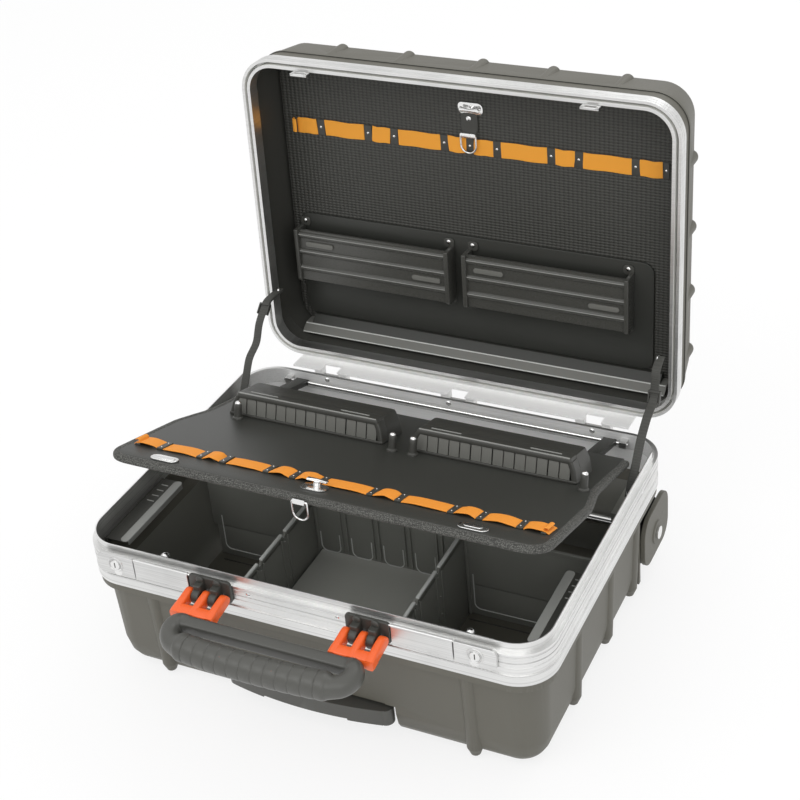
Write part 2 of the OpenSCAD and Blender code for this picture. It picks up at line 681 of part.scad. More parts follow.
pocket_top = lid_board_z - 2.65;
module pocket(x) {
    half = pocket_w / 2;
    difference() {
        box(x - half, x + half, pocket_y[0], pocket_y[1], pocket_top - pocket_h, pocket_top);
        box(x - half + 4, x + half - 4, pocket_y[0] - 1, pocket_y[1] - 3,
            pocket_top - pocket_h + 3.1, pocket_top + 1);
    }
    // three ridges along the outside
    for (y = [44, 64, 84]) translate([x, y, pocket_top - pocket_h + 0.05]) rotate([0, 90, 0])
        cylinder(h = pocket_w - 12, r = 2.2, center = true);
}
module lid_pockets() color(black_c) lid_open() for (x = pocket_x) pocket(x);
lid_segs = [[-209, -186], [-176, -129], [-119, -98], [-88, -39], [-30, -9], [-1, 21], [30, 81], [90, 111],
    [120, 172], [180, 204]];
module lid_band() color(band_c) lid_open() for (g = lid_segs)
    box(g[0], g[1], band_y - band_w / 2, band_y + band_w / 2, lid_board_z - 1.8, lid_board_z - 0.05);
ring_off = 5;         // upper ring's bar in front of the lid board
module lid_clips() color(black_c) lid_open() {
    for (i = [0:len(lid_segs) - 2]) {
        a = lid_segs[i][1];
        b = lid_segs[i + 1][0];
        box((a + b) / 2 - 3, (a + b) / 2 + 3, band_y - 8, band_y + 8, lid_board_z - 2.2, lid_board_z - 0.05);
    }
    // plate behind the upper ring
    box(-16, 10, -131, -96, lid_board_z - 1.2, lid_board_z - 0.05);
    difference() {
        box(-11, 1, -97, -92, lid_board_z - 6.8, lid_board_z - 1.1);
        rod_x(-12, 2, -94.5, lid_board_z - ring_off, 1.2);
    }
}
module lid_lock() color(chrome_c) lid_open() translate([-3, -123, lid_board_z - 1.25]) mirror([0, 0, 1]) {
    cylinder(h = 3, r = 3.2);
    translate([-11, -2, 3]) cube([22, 4, 3]);
}
module lid_ring() color(chrome_c) lid_open() translate([-5, -94.5, lid_board_z - ring_off])
    rotate([lid_angle, 0, 0]) d_ring(17, 22, 1.1);

// ---- stay straps between lid and base ----
strap_w = 8;
strap_t = 1.2;
strap_x = 225.8;
// direction of a strap's run number i, and the mitred side shift at its point i
function run_dir(p, i) = (p[i + 1] - p[i]) / norm(p[i + 1] - p[i]);
function dir_at(p, i) =
    let (a = run_dir(p, max(i - 1, 0)), b = run_dir(p, min(i, len(p) - 2))) (a + b) / norm(a + b);
function side_at(p, i) = let (d = dir_at(p, i)) [-d[1], d[0]] * strap_t / 2;
// a flat strap along points in the Y-Z plane
module strap_run(x, p) {
    n = len(p) - 1;
    translate([x - strap_w / 2, 0, 0]) rotate([90, 0, 90]) linear_extrude(strap_w)
        polygon(concat([for (i = [0:n]) p[i] + side_at(p, i)], [for (i = [n:-1:0]) p[i] - side_at(p, i)]));
}
left_pts = [[219, 224], [186, 226], [166, 208], [157, 188], [137, 180], [117, 150], [106, 130]];
right_pts = [[197, 236], [178, 228], [174, 196], [155, 190], [130, 174], [100, 144], [92, 130]];
module straps() color([0.2, 0.2, 0.19]) {
    strap_run(-strap_x, left_pts);
    strap_run(strap_x, right_pts);
}
// each buckle: side, place in Y and Z, and the run's slope there
buckle_at = [[-strap_x, 171.2, 212.7, 42], [strap_x, 174.9, 203.5, 82.9]];
module strap_buckles() color(black_c) for (q = buckle_at)
    translate([q[0], q[1], q[2]]) rotate([q[3], 0, 0]) difference() {
        translate([-5.8, -6, -2.8]) cube([11.6, 12, 5.6]);
        translate([-4.6, -7, -1.5]) cube([9.2, 14, 3]);
    }

base_shell();
base_frame();
frame_rivets();
rib_feet();
divider_left();
divider_right();
divider_back();
side_rail_left();
side_rail_right();
axle_tube();
wheel_housing_left();
wheel_housing_right();
axle_bolts();
wheel_left();
wheel_right();
tube_clamps();
trolley_tubes();
trolley_sleeves();
trolley_rods();
trolley_grip();
latch_plates();
latch_domes();
lock_bodies();
latch_pins();
latch_lever_left();
latch_lever_right();
key_cylinder_left();
key_cylinder_right();
handle_brackets();
handle_pins();
handle_knuckles();
handle_grip();
hinge_arms();
hinge_pins();
board_brackets();
base_board();
board_binding();
board_rod();
board_band();
board_clips();
tool_trays();
tray_posts();
board_ovals();
board_lock();
board_tab();
board_ring();
lid_frame();
lid_shell();
lid_hinge_leaf();
lid_fittings();
lid_board();
lid_panel();
lid_strip();
lid_pockets();
lid_band();
lid_clips();
lid_lock();
lid_ring();
straps();
strap_buckles();
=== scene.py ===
import json
from math import cos, pi, radians, sin
import bpy
import bmesh
import numpy as np
from mathutils import Euler, Matrix, Vector


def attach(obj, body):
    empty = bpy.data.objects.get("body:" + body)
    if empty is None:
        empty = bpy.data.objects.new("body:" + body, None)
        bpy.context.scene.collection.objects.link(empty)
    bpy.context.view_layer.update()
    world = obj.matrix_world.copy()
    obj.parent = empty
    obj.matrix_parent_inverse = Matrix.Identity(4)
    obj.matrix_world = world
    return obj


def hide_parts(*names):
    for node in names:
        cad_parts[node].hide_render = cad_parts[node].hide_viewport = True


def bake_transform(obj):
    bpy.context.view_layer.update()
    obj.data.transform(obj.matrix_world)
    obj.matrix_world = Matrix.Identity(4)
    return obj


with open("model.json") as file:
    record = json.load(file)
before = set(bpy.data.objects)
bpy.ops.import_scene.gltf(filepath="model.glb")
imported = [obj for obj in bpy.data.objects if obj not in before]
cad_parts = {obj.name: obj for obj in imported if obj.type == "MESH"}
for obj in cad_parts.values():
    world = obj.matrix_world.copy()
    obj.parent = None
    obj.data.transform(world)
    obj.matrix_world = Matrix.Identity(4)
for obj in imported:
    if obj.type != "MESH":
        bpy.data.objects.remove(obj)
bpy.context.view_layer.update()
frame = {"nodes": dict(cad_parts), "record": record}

mm = 0.001
nodes = frame["nodes"]
print("frame loaded:", len(nodes), "nodes")

# view and light
view = {"place": (0.6494, -1.1362, 1.1127), "turn": (59.946, 3.446, 23.561), "lens": 73.348,
        "sensor": 36, "shiftX": -0.08105, "shiftY": -0.12226}
light = {"sky": 0.95, "mirrorShare": 0.45, "floorSize": 14, "floorDrop": 0.0004, "floorShare": 0.8,
         "low": -0.2, "bands": ((0.0, 0.95), (0.2, 0.5), (0.34, 0.9), (0.55, 0.62), (0.8, 1.15), (1.0, 1.05)),
         "key": (11, (-0.7, -1.6, 2.2), 1.6),  # each lamp: power, place, size
         "front": (9, (1.1, -1.9, 1.5), 1.5),
         "rim": (9, (0.3, 1.6, 2.0), 1.2)}


def makeView():
    scene = bpy.context.scene
    cam = bpy.data.cameras.new("view")
    cam.lens, cam.sensor_width = view["lens"], view["sensor"]
    cam.shift_x, cam.shift_y = view["shiftX"], view["shiftY"]
    holder = bpy.data.objects.new("view", cam)
    holder.location = view["place"]
    holder.rotation_euler = Euler([radians(a) for a in view["turn"]])
    scene.collection.objects.link(holder)
    scene.camera = holder
    scene.view_settings.view_transform = "Standard"


def softBox(name, power, place, size, target=(0, 0.05, 0.15)):
    lamp = bpy.data.lights.new(name, "AREA")
    lamp.energy, lamp.size = power, size
    holder = bpy.data.objects.new(name, lamp)
    holder.location = place
    holder.rotation_euler = (Vector(target) - Vector(place)).to_track_quat("-Z", "Y").to_euler()
    bpy.context.scene.collection.objects.link(holder)


# shader helpers
class Wire:  # a socket or number that takes part in sums
    def __init__(self, maker, value):
        self.maker, self.value = maker, value

    def join(self, other, kind, swap=False):
        a, b = (other, self) if swap else (self, other)
        return self.maker.node("ShaderNodeMath", {"operation": kind}, {0: a, 1: b})

    def __add__(self, other): return self.join(other, "ADD")
    def __radd__(self, other): return self.join(other, "ADD", True)
    def __sub__(self, other): return self.join(other, "SUBTRACT")
    def __rsub__(self, other): return self.join(other, "SUBTRACT", True)
    def __mul__(self, other): return self.join(other, "MULTIPLY")
    def __rmul__(self, other): return self.join(other, "MULTIPLY", True)


class Finish:  # one material, or the world, and the nodes in it
    def __init__(self, name, owner=None):
        self.mat = owner or bpy.data.materials.new(name)
        self.mat.use_nodes = True
        self.tree = self.mat.node_tree
        self.skin = self.tree.nodes.get("Principled BSDF")

    def put(self, socket, value):
        if isinstance(value, Wire):
            value = value.value
        if isinstance(value, bpy.types.NodeSocket):
            self.tree.links.new(value, socket)
        elif isinstance(value, (tuple, list)) and len(value) == 3 and len(socket.default_value) == 4:
            socket.default_value = (*value, 1)
        else:
            socket.default_value = value

    def node(self, kind, settings=None, inputs=None, out=0):
        made = self.tree.nodes.new(kind)
        for key, value in (settings or {}).items():
            if key == "stops":
                while len(made.color_ramp.elements) < len(value):
                    made.color_ramp.elements.new(0.5)
                for stop, (place, shade) in zip(made.color_ramp.elements, value):
                    stop.position, stop.color = place, (shade, shade, shade, 1)
            else:
                setattr(made, key, value)
        for key, value in (inputs or {}).items():
            self.put(made.inputs[key], value)
        return Wire(self, made.outputs[out])

    def places(self, scale=(1, 1, 1), turn=(0, 0, 0)):
        here = self.node("ShaderNodeTexCoord", out=3)
        return self.node("ShaderNodeMapping", None, {0: here, 2: turn, 3: scale})

    def split(self, vector):
        made = self.node("ShaderNodeSeparateXYZ", None, {0: vector}).value.node
        return [Wire(self, made.outputs[i]) for i in range(3)]

    def noise(self, vector, scale, detail=2.0, rough=0.5):
        return self.node("ShaderNodeTexNoise", None,
                         {"Vector": vector, "Scale": scale, "Detail": detail, "Roughness": rough})

    def wave(self, value):
        return self.node("ShaderNodeMath", {"operation": "SINE"}, {0: value})

    def ramp(self, value, *stops):
        return self.node("ShaderNodeValToRGB", {"stops": stops}, {0: value})

    def blend(self, factor, first, second):
        return self.node("ShaderNodeMix", {"data_type": "RGBA"}, {0: factor, 6: first, 7: second}, out=2)

    def bump(self, height, depth, strength=1.0):
        normal = self.node("ShaderNodeBump", None,
                           {"Height": height, "Distance": depth, "Strength": strength})
        self.put(self.skin.inputs["Normal"], normal)

    def rays(self, *kinds):
        outputs = self.node("ShaderNodeLightPath").value.node.outputs
        return [Wire(self, outputs["Is " + kind + " Ray"]) for kind in kinds]

    def set(self, **values):
        for key, value in values.items():
            self.put(self.skin.inputs[key.replace("_", " ")], value)
        return self


def tone(r, g, b):  # a colour as seen on screen, 0 to 255, made linear
    return tuple((c / 255 / 12.92) if c < 10.3 else ((c / 255 + 0.055) / 1.055) ** 2.4 for c in (r, g, b))


# finishes
def mouldedPlastic(name, colour, rough=0.5, grain=0.00006, grainScale=1500, spread=0.12, coat=0.0):
    f = Finish(name)
    here = f.places()
    fine = f.noise(here, grainScale, 3, 0.6)
    cloud = f.noise(here, 9, 3, 0.5)
    low = tuple(c * (1 - spread) for c in colour)
    high = tuple(min(1, c * (1 + spread)) for c in colour)
    f.set(Base_Color=f.blend(cloud * 0.75 + fine * 0.25, low, high), Coat_Weight=coat,
          Roughness=rough - 0.08 + 0.12 * fine + 0.05 * cloud)
    f.bump(fine, grain)
    return f.mat


sheetGrain = (6, 900, 900)


def brushedMetal(name, colour, turn=(0, 0, 0), stretch=(6, 6, 2400), rough=0.24, seams=0, dark=0.62,
                 metal=1.0):
    # fine lines along the bar; seams is the pitch in mm of thin drawn lines across the third axis
    f = Finish(name)
    lines = f.noise(f.places(stretch, turn), 1, 4, 0.65)
    cloud = f.noise(f.places(), 14, 3, 0.55)
    low = tuple(c * dark for c in colour)
    shade = f.ramp(lines * 0.65 + cloud * 0.35, (0.3, 0.0), (0.66, 1.0))
    if seams:
        u, v, w = f.split(f.places((1, 1, 1), turn))
        part = f.node("ShaderNodeMath", {"operation": "FRACT"}, {0: (w + 10) * (1 / (seams * mm))})
        shade = shade * f.ramp(part, (0.0, 0.25), (0.07, 0.2), (0.12, 1.0), (0.93, 1.0), (1.0, 0.25))
        f.bump(shade, 0.00006)
    else:
        f.bump(lines, 0.00002)
    f.set(Base_Color=f.blend(shade, low, colour), Metallic=metal,
          Roughness=rough + 0.16 * lines + 0.1 * cloud)
    return f.mat


def polishedMetal(name, colour=(0.86, 0.86, 0.85), rough=0.1):
    f = Finish(name)
    haze = f.noise(f.places(), 120, 3, 0.6)
    low = tuple(c * 0.9 for c in colour)
    f.set(Base_Color=f.blend(haze, low, colour), Metallic=1.0, Roughness=rough + 0.12 * haze)
    return f.mat


def diamondSheet(name, colour, turn=(0, 0, 0), pitch=4.6):
    # two crossing sine rows in the sheet's own plane: raised where both rows are high
    f = Finish(name)
    u, v, w = f.split(f.places((1, 1, 1), turn))
    step = 2 * pi / (pitch * mm)
    rows = (f.wave((u + v * 1.5) * step * 0.55) * f.wave((u - v * 1.5) * step * 0.55)) * 0.5 + 0.5
    fine = f.noise(f.places(), 1400, 3, 0.6)
    lift = f.ramp(rows, (0.2, 0.0), (0.8, 1.0))
    # the colour follows the relief: lighter on the raised rows and darker between them, painted light and
    # shade
    low = tuple(c * 0.62 for c in colour)
    high = tuple(c * 1.5 for c in colour)
    f.set(Base_Color=f.blend(lift * 0.8 + fine * 0.2, low, high), Roughness=0.46 + 0.12 * fine)
    f.bump(lift * 0.85 + fine * 0.15, 0.0007)
    return f.mat


def wovenTape(name, colour, turn=(0, 0, 0), rib=1.3, across=1.1, gloss=0.6, dark=0.62, lift=0.00028):
    # over-and-under threads: two sine rows across each other, one shifted row by row
    f = Finish(name)
    u, v, w = f.split(f.places((1, 1, 1), turn))
    a = f.wave(u * (2 * pi / (rib * mm)))
    b = f.wave(v * (2 * pi / (across * mm)) + u * (pi / (rib * mm)))
    weave = (a * 0.5 + b * 0.5) * 0.5 + 0.5
    fuzz = f.noise(f.places(), 2200, 3, 0.65)
    # the colour follows the relief: darker where the weave lies low, a painted shade in its hollows
    low = tuple(c * dark for c in colour)
    f.set(Base_Color=f.blend(weave * 0.7 + fuzz * 0.3, low, colour), Roughness=gloss + 0.2 * fuzz)
    f.bump(weave * 0.8 + fuzz * 0.2, lift)
    return f.mat


def flecked(name, dark, pale, scale=620):
    # the salt-and-pepper look of a coarse woven tape: small cells, some pale and some dark
    f = Finish(name)
    here = f.places()
    cells = f.node("ShaderNodeTexVoronoi", None, {"Vector": here, "Scale": scale, "Randomness": 0.7})
    fine = f.noise(here, 900, 3, 0.7)
    pick = f.ramp(cells * 0.8 + fine * 0.7, (0.42, 0.0), (0.85, 1.0))
    f.set(Base_Color=f.blend(pick, pale, dark), Roughness=0.62 + 0.2 * fine)
    f.bump(1 - cells, 0.0003)
    return f.mat


lidTurn = radians(92.3)  # how far the lid stands open
boardTurn = radians(17.5)  # how far the tool board is raised
shellPlastic = mouldedPlastic("shellPlastic", tone(94, 92, 83), 0.5, 0.00009, 900)
blackPlastic = mouldedPlastic("blackPlastic", tone(62, 62, 58), 0.4)
deepPlastic = mouldedPlastic("deepPlastic", tone(66, 66, 62), 0.42, 0.00008, 1100)
# painted light: the base's inner faces get a much lighter copy of the inner plastic, standing in for light
# that hardly reaches into the bays
bayLitPlastic = mouldedPlastic("bayLitPlastic", tone(128, 128, 121), 0.36, 0.00008, 1100)
floorPlastic = mouldedPlastic("floorPlastic", tone(186, 187, 180), 0.34, 0.00006, 1200)
# painted light: the dividers are lightened like the bays, standing in for light that hardly reaches them
dividerLitPlastic = mouldedPlastic("dividerLitPlastic", tone(126, 127, 121), 0.32)
pocketPlastic = mouldedPlastic("pocketPlastic", tone(74, 74, 70), 0.27, 0.00004, 1500)
# painted highlight: a pale plastic laid as strips and thin lines along edges where light catches them: the
# dividers' tops, the cross plate's rounded lower corners and the lid sill's bevel
edgeHighlight = mouldedPlastic("edgeHighlight", tone(208, 210, 206), 0.34)
gripPlastic = mouldedPlastic("gripPlastic", tone(80, 80, 76), 0.36, 0.00007, 1300)
slatPlastic = mouldedPlastic("slatPlastic", tone(112, 112, 107), 0.5)
orangePlastic = mouldedPlastic("orangePlastic", tone(250, 104, 42), 0.32, 0.00003, 1800, 0.06, 0.2)
railPaint = mouldedPlastic("railPaint", tone(150, 151, 147), 0.34, 0.00003, 1800, 0.05)
tyreRubber = mouldedPlastic("tyreRubber", tone(44, 44, 43), 0.75, 0.00012, 700)
frameMetal = brushedMetal("frameMetal", (0.9, 0.9, 0.89), seams=7.3, dark=0.66)
lidMetal = brushedMetal("lidMetal", (0.86, 0.86, 0.85), (lidTurn, 0, 0), dark=0.7)
satinMetal = brushedMetal("satinMetal", (0.93, 0.93, 0.92), (0, 0, 0), sheetGrain, 0.4, 0, 0.8, 0.25)
# painted light: a near-white, hardly metallic copy of the metal, standing in for the bright reflection on the
# hinge leaf and for light on the back wall's shaded upper band
litWhiteMetal = brushedMetal("litWhiteMetal", (1.0, 1.0, 0.99), (0, 0, 0), sheetGrain, 0.3, 0, 0.92, 0.05)
hingeMetal = brushedMetal("hingeMetal", (0.55, 0.55, 0.54), (0, 0, 0), sheetGrain, 0.45, 0, 0.8, 0.25)
# painted light: a pale diffuse finish on the walls of the lid frame's groove, so they read light though
# little light reaches into it
channelLitPaint = mouldedPlastic("channelLitPaint", tone(226, 226, 222), 0.5, 0.00003, 1500, 0.05)
trimMetal = brushedMetal("trimMetal", (0.86, 0.86, 0.85), (0, 0, 0), sheetGrain, 0.26)
chrome = polishedMetal("chrome")
boardSheet = mouldedPlastic("boardSheet", tone(51, 52, 48), 0.42, 0.00008, 1200)
lidSheet = diamondSheet("lidSheet", tone(60, 60, 56), (radians(-87.7), 0, 0), 5.4)
edgeTape = flecked("edgeTape", tone(50, 50, 47), tone(118, 118, 113), 820)
elasticTape = wovenTape("elasticTape", tone(250, 158, 50), (boardTurn, 0, 0), 1.2, 1.0, 0.55, 0.82, 0.00012)
lidElastic = wovenTape("lidElastic", tone(255, 172, 54), (lidTurn, 0, 0), 1.2, 1.0, 0.55, 0.82, 0.00012)
webbing = wovenTape("webbing", tone(78, 78, 74), (0, radians(90), 0), 2.0, 1.4)
print("finishes made")


# frames of the parts that stand turned
def turnAbout(angle, *place):  # a turn about the X direction, then a shift, in mm
    return Matrix.Translation(Vector(place) * mm) @ Matrix.Rotation(angle, 4, "X")


pins = {"board": (7, 164.5, 142), "handle": (-8, -187, 139), "lid": (0, 190.15, 135.55), "droop": 7}
plainFrame = Matrix.Identity(4)
boardFrame = turnAbout(-boardTurn, *pins["board"])
handleFrame = turnAbout(radians(pins["droop"]), *pins["handle"])
lidFrame = turnAbout(-lidTurn, *pins["lid"]) @ Matrix.Translation(Vector(pins["lid"]) * -mm)
frameOf = {"tool_board": boardFrame, "board_turn_lock": boardFrame, "board_pull_ring": boardFrame,
           "lid": lidFrame, "lid_turn_lock": lidFrame, "lid_pull_ring": lidFrame, "carry_handle": handleFrame}


# mesh helpers; all sizes in mm
def roundRect(w, d, r, n=6):  # four quarter circles joined into an outline, anticlockwise from the right
    r = max(min(r, w / 2 - 0.01, d / 2 - 0.01), 0.01)
    a = np.concatenate([np.linspace(0, pi / 2, n + 1) + k * pi / 2 for k in range(4)])
    cx = np.repeat([w / 2 - r, r - w / 2, r - w / 2, w / 2 - r], n + 1)
    cy = np.repeat([d / 2 - r, d / 2 - r, r - d / 2, r - d / 2], n + 1)
    return np.stack([cx + r * np.cos(a), cy + r * np.sin(a)], 1)


def rings(loops, closedEnd=True):  # quads between loops of equal length, with both ends capped
    n, k = len(loops), len(loops[0])
    i, j = np.meshgrid(np.arange(n - 1), np.arange(k), indexing="ij")
    a, b = i * k + j, i * k + (j + 1) % k
    faces = np.stack([a, b, b + k, a + k], -1).reshape(-1, 4).tolist()
    if closedEnd:
        faces += [list(range(k))[::-1], list(range((n - 1) * k, n * k))]
    return np.concatenate(loops), faces


def stack(shape, levels):  # shape(inset) gives an outline; levels are (height, inset) from low to high
    return rings([np.column_stack([shape(i), np.full(len(shape(i)), z)]) for z, i in levels])


def soft(z0, z1, e=0.6, low=None):  # levels of a slab whose upper and lower edges are quarter circles
    low = e if low is None else low
    turns = np.linspace(0, pi / 2, 5)
    top = [(z1 - e * (1 - sin(t)), e * (1 - cos(t))) for t in turns]
    return [(z0 + low * (1 - sin(t)), low * (1 - cos(t))) for t in turns[::-1]] + top


def slab(x0, x1, y0, y1, z0, z1, e=0.6, r=None):  # a block with softened edges
    outline = lambda i: roundRect(x1 - x0 - 2 * i, y1 - y0 - 2 * i, max((r or e) - i, 0.05), 4)
    verts, faces = stack(outline, soft(z0, z1, e))
    return verts + [(x0 + x1) / 2, (y0 + y1) / 2, 0], faces


def unit(rows):
    return rows / np.linalg.norm(rows, axis=1, keepdims=True)


def distances(path):  # how far along the path each of its points lies
    return np.concatenate([[0], np.cumsum(np.linalg.norm(np.diff(path, axis=0), axis=1))])


def sweep(path, section, up=(0, 0, 1), closed=False):
    # at each path point the section stands square to the path: its first number runs sideways,
    # its second along up; there is one section, or one for each point
    path = np.asarray(path, float)
    if closed:
        run = np.roll(path, -1, 0) - np.roll(path, 1, 0)
    else:
        run = np.gradient(path, axis=0)
    run = unit(run)
    side = unit(np.cross(run, np.asarray(up, float)))
    rise = np.cross(side, run)
    sec = np.broadcast_to(section, (len(path),) + np.shape(section)[-2:])
    loops = path[:, None] + sec[..., :1] * side[:, None] + sec[..., 1:] * rise[:, None]
    if closed:
        return rings(list(loops) + [loops[0]], False)
    return rings(list(loops))


def oval(a, b, k=24, power=2.0):  # superellipse section; power 2 is an ellipse, 5 a soft box
    t = np.linspace(0, 2 * pi, k, endpoint=False)
    c, s = np.cos(t), np.sin(t)
    return np.stack([a * np.sign(c) * np.abs(c) ** (2 / power), b * np.sign(s) * np.abs(s) ** (2 / power)], 1)


def dome(r, h, x=0, y=0, z=0, base=0.4):  # a rivet head, half an ellipse turned round, on a short collar
    t = np.linspace(0, pi / 2 - 0.12, 6)
    levels = [(z, 0), (z + base, 0)] + [(z + base + h * sin(a), r * (1 - cos(a))) for a in t[1:]]
    verts, faces = stack(lambda i: oval(r - i, r - i, 20), levels)
    return verts + [x, y, 0], faces


def turned(part, turn, place=(0, 0, 0)):  # a part turned by a rotation, then moved
    verts, faces = part
    return verts @ np.array(turn).T + np.array(place, float), faces


forward = Matrix.Rotation(radians(90), 3, "X")  # stands a flat part up, facing the front
backward = Matrix.Rotation(radians(-90), 3, "X")
sideways = {side: Matrix.Rotation(radians(90 * side), 3, "Y") for side in (-1, 1)}


class Pile:  # parts of one piece, gathered into a single mesh
    def __init__(self):
        self.verts, self.faces, self.kind = [], [], []
        self.count = 0

    def add(self, part, kind=0):
        verts, faces = part
        self.verts.append(verts)
        self.faces += [[n + self.count for n in f] for f in faces]
        self.kind += [kind] * len(faces)
        self.count += len(verts)
        return self

    def done(self, name, finish, body, base=plainFrame, angle=35):
        mesh = bpy.data.meshes.new(name)
        flat = np.concatenate(self.verts) * mm
        m = np.array(base)
        mesh.from_pydata((flat @ m[:3, :3].T + m[:3, 3]).tolist(), [], self.faces)
        mesh.polygons.foreach_set("material_index", self.kind)
        work = bmesh.new()
        work.from_mesh(mesh)
        bmesh.ops.remove_doubles(work, verts=work.verts, dist=0.000001)
        bmesh.ops.recalc_face_normals(work, faces=work.faces)
        work.to_mesh(mesh)
        work.free()
        return place(name, mesh, finish, body, angle)


def place(name, mesh, finish, body, angle=35):
    piece = bpy.data.objects.new(name, mesh)
    bpy.context.scene.collection.objects.link(piece)
    for one in (finish if isinstance(finish, (list, tuple)) else [finish]):
        mesh.materials.append(one)
    mesh.shade_smooth()
    mesh.set_sharp_from_angle(angle=radians(angle))
    if body:
        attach(piece, body)
    return piece


bodyOf = {n: b for b, ns in frame["record"]["behaviour"]["bodies"].items() for n in ns}


def takePlace(piece, node):
    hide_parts(node)


def instead(node, name, pile, finish, angle=35):  # a pile, drawn in its body's frame, replaces a node
    body = bodyOf[node]
    takePlace(pile.done(name, finish, body, frameOf.get(body, plainFrame), angle), node)


sharp = 32  # edges that turn more than this many degrees are rounded off


def refined(node, finish, width=0.5, *others):
    # the node's own mesh, merged and flattened, with its sharp edges rounded off;
    # others are (test of a face's centre in mm and its normal, finish) for faces of another finish
    mesh = nodes[node].data.copy()
    mesh.materials.clear()
    work = bmesh.new()
    work.from_mesh(mesh)
    bmesh.ops.remove_doubles(work, verts=work.verts, dist=0.000004)
    bmesh.ops.dissolve_limit(work, angle_limit=radians(0.6), verts=work.verts, edges=work.edges)
    for k, (test, _) in enumerate(others):
        for face in work.faces:
            if test(face.calc_center_median() / mm, face.normal):
                face.material_index = k + 1
    work.to_mesh(mesh)
    work.free()
    piece = place(node + "_finished", mesh, [finish] + [one for _, one in others], bodyOf[node], sharp)
    if width:
        edge = piece.modifiers.new("edge", "BEVEL")
        edge.width, edge.segments, edge.limit_method = width * mm, 2, "ANGLE"
        edge.angle_limit = radians(sharp)
        edge.use_clamp_overlap = True
        edge.harden_normals = True
    takePlace(piece, node)


def paint(node, finish):
    target = nodes[node]
    target.data.materials.clear()
    target.data.materials.append(finish)


def makeSky():
    # grey bands over the height give the metal its stripes; the camera sees plain white instead,
    # and mirrored rays see part of each
    world = bpy.data.worlds.new("sky")
    bpy.context.scene.world = world
    f = Finish("sky", world)
    up = f.split(f.node("ShaderNodeTexCoord"))[2]
    height = f.node("ShaderNodeMapRange", None, {0: up, 1: light["low"], 2: 1.0})
    bands = f.node("ShaderNodeValToRGB", {"stops": light["bands"]}, {0: height})
    glow = f.node("ShaderNodeBackground", None, {0: bands, 1: light["sky"]})
    white = f.node("ShaderNodeBackground", None, {0: (1, 1, 1), 1: 1.0})
    camera, glossy, through = f.rays("Camera", "Glossy", "Transmission")
    share = glossy * light["mirrorShare"] + camera + through
    f.put(f.tree.nodes["World Output"].inputs[0],
          f.node("ShaderNodeMixShader", None, {0: share, 1: glow, 2: white}))


def makeFloor():
    # a lit plane; the camera and mirrored rays see most of it as white, and the rest keeps the shadow
    mesh = bpy.data.meshes.new("floor")
    half, low = light["floorSize"] / 2, -light["floorDrop"]
    corners = [(-half, -half, low), (half, -half, low), (half, half, low), (-half, half, low)]
    mesh.from_pydata(corners, [], [(0, 1, 2, 3)])
    piece = bpy.data.objects.new("floor", mesh)
    bpy.context.scene.collection.objects.link(piece)
    f = Finish("paleFloor")
    f.set(Base_Color=(0.93, 0.93, 0.93), Roughness=0.9)
    camera, glossy, through = f.rays("Camera", "Glossy", "Transmission")
    lit = f.node("ShaderNodeEmission", None, {0: (1, 1, 1), 1: 1.0})
    f.put(f.tree.nodes["Material Output"].inputs[0],
          f.node("ShaderNodeMixShader", None,
                 {0: (camera + glossy + through) * light["floorShare"], 1: f.skin.outputs[0], 2: lit}))
    mesh.materials.append(f.mat)


makeView()
makeSky()
for name in ("key", "front", "rim"):
    softBox(name, *light[name])
makeFloor()
print("view and light made")


# shells, frames and plain fittings
shell = {"halfWide": 240, "halfDeep": 175, "corner": 38, "edge": 1.2,
         "lidZ": (150, 185, 223, 230), "lidWall": (4.4, 4.4, 9.6, 14), "lidMore": (0, 0, 2.0, 2.0),
         "baseZ": (4, 8, 15, 30, 99), "baseWall": (27.9, 20.9, 16.9, 13.9, 10.9)}


def inward(x, y):  # distance from the case's outline towards its middle, in plan
    r = shell["corner"]
    qx, qy = abs(x) - (shell["halfWide"] - r), abs(y) - (shell["halfDeep"] - r)
    return r - (max(qx, 0) ** 2 + max(qy, 0) ** 2) ** 0.5 - min(max(qx, qy), 0)


def closedPlace(c):  # a point of the open lid, in mm, taken to where it lies with the lid closed
    return np.array(lidFrame.inverted() @ (Vector(c) * mm)) / mm


def lidInside(c, n):  # a face centre inside the lid's wall, whose depth follows the height
    x, y, z = closedPlace(c)
    wall, more = np.interp(z, shell["lidZ"], shell["lidWall"]), np.interp(z, shell["lidZ"], shell["lidMore"])
    return 164 < z < 230.4 and abs(x) < shell["halfWide"] - wall - more + 0.6 and inward(x, y) > wall


def channelInside(c, n):  # the walls and floor of the groove that takes the base frame's tongue
    x, y, z = closedPlace(c)
    return 150.3 < z < 161.5 and 2.9 < inward(x, y) < 6.4


def baseInside(c, n):  # a face centre inside the base's wall, clear of the wheel wells and the tunnel
    wall = np.interp(c[2], shell["baseZ"], shell["baseWall"])
    well = abs(c[0]) > 203 and c[1] > 111 and c[2] < 93
    tunnel = c[2] < 42.9 and -86 < c[0] < 76 and c[1] < 111
    return c[2] > 5.6 and inward(c[0], c[1]) > wall and not well and not tunnel


def tunnelTop(c, n):  # the raised floor of the middle bay
    return n[2] > 0.8 and 42.8 < c[2] < 48 and abs(c[0] + 5) < 84


def rearLitBand(c, n):  # the upper part of the back wall, behind the frame's inner face; it is painted near white to stand in for light on this shaded band
    return c[1] > 120 and n[1] < -0.2 and 107 < c[2] < 134 and inward(c[0], c[1]) < 8.5


def rearInside(c, n):  # the frame's inner wall along the back and round its corners
    return c[1] > 120 and n[1] < -0.25


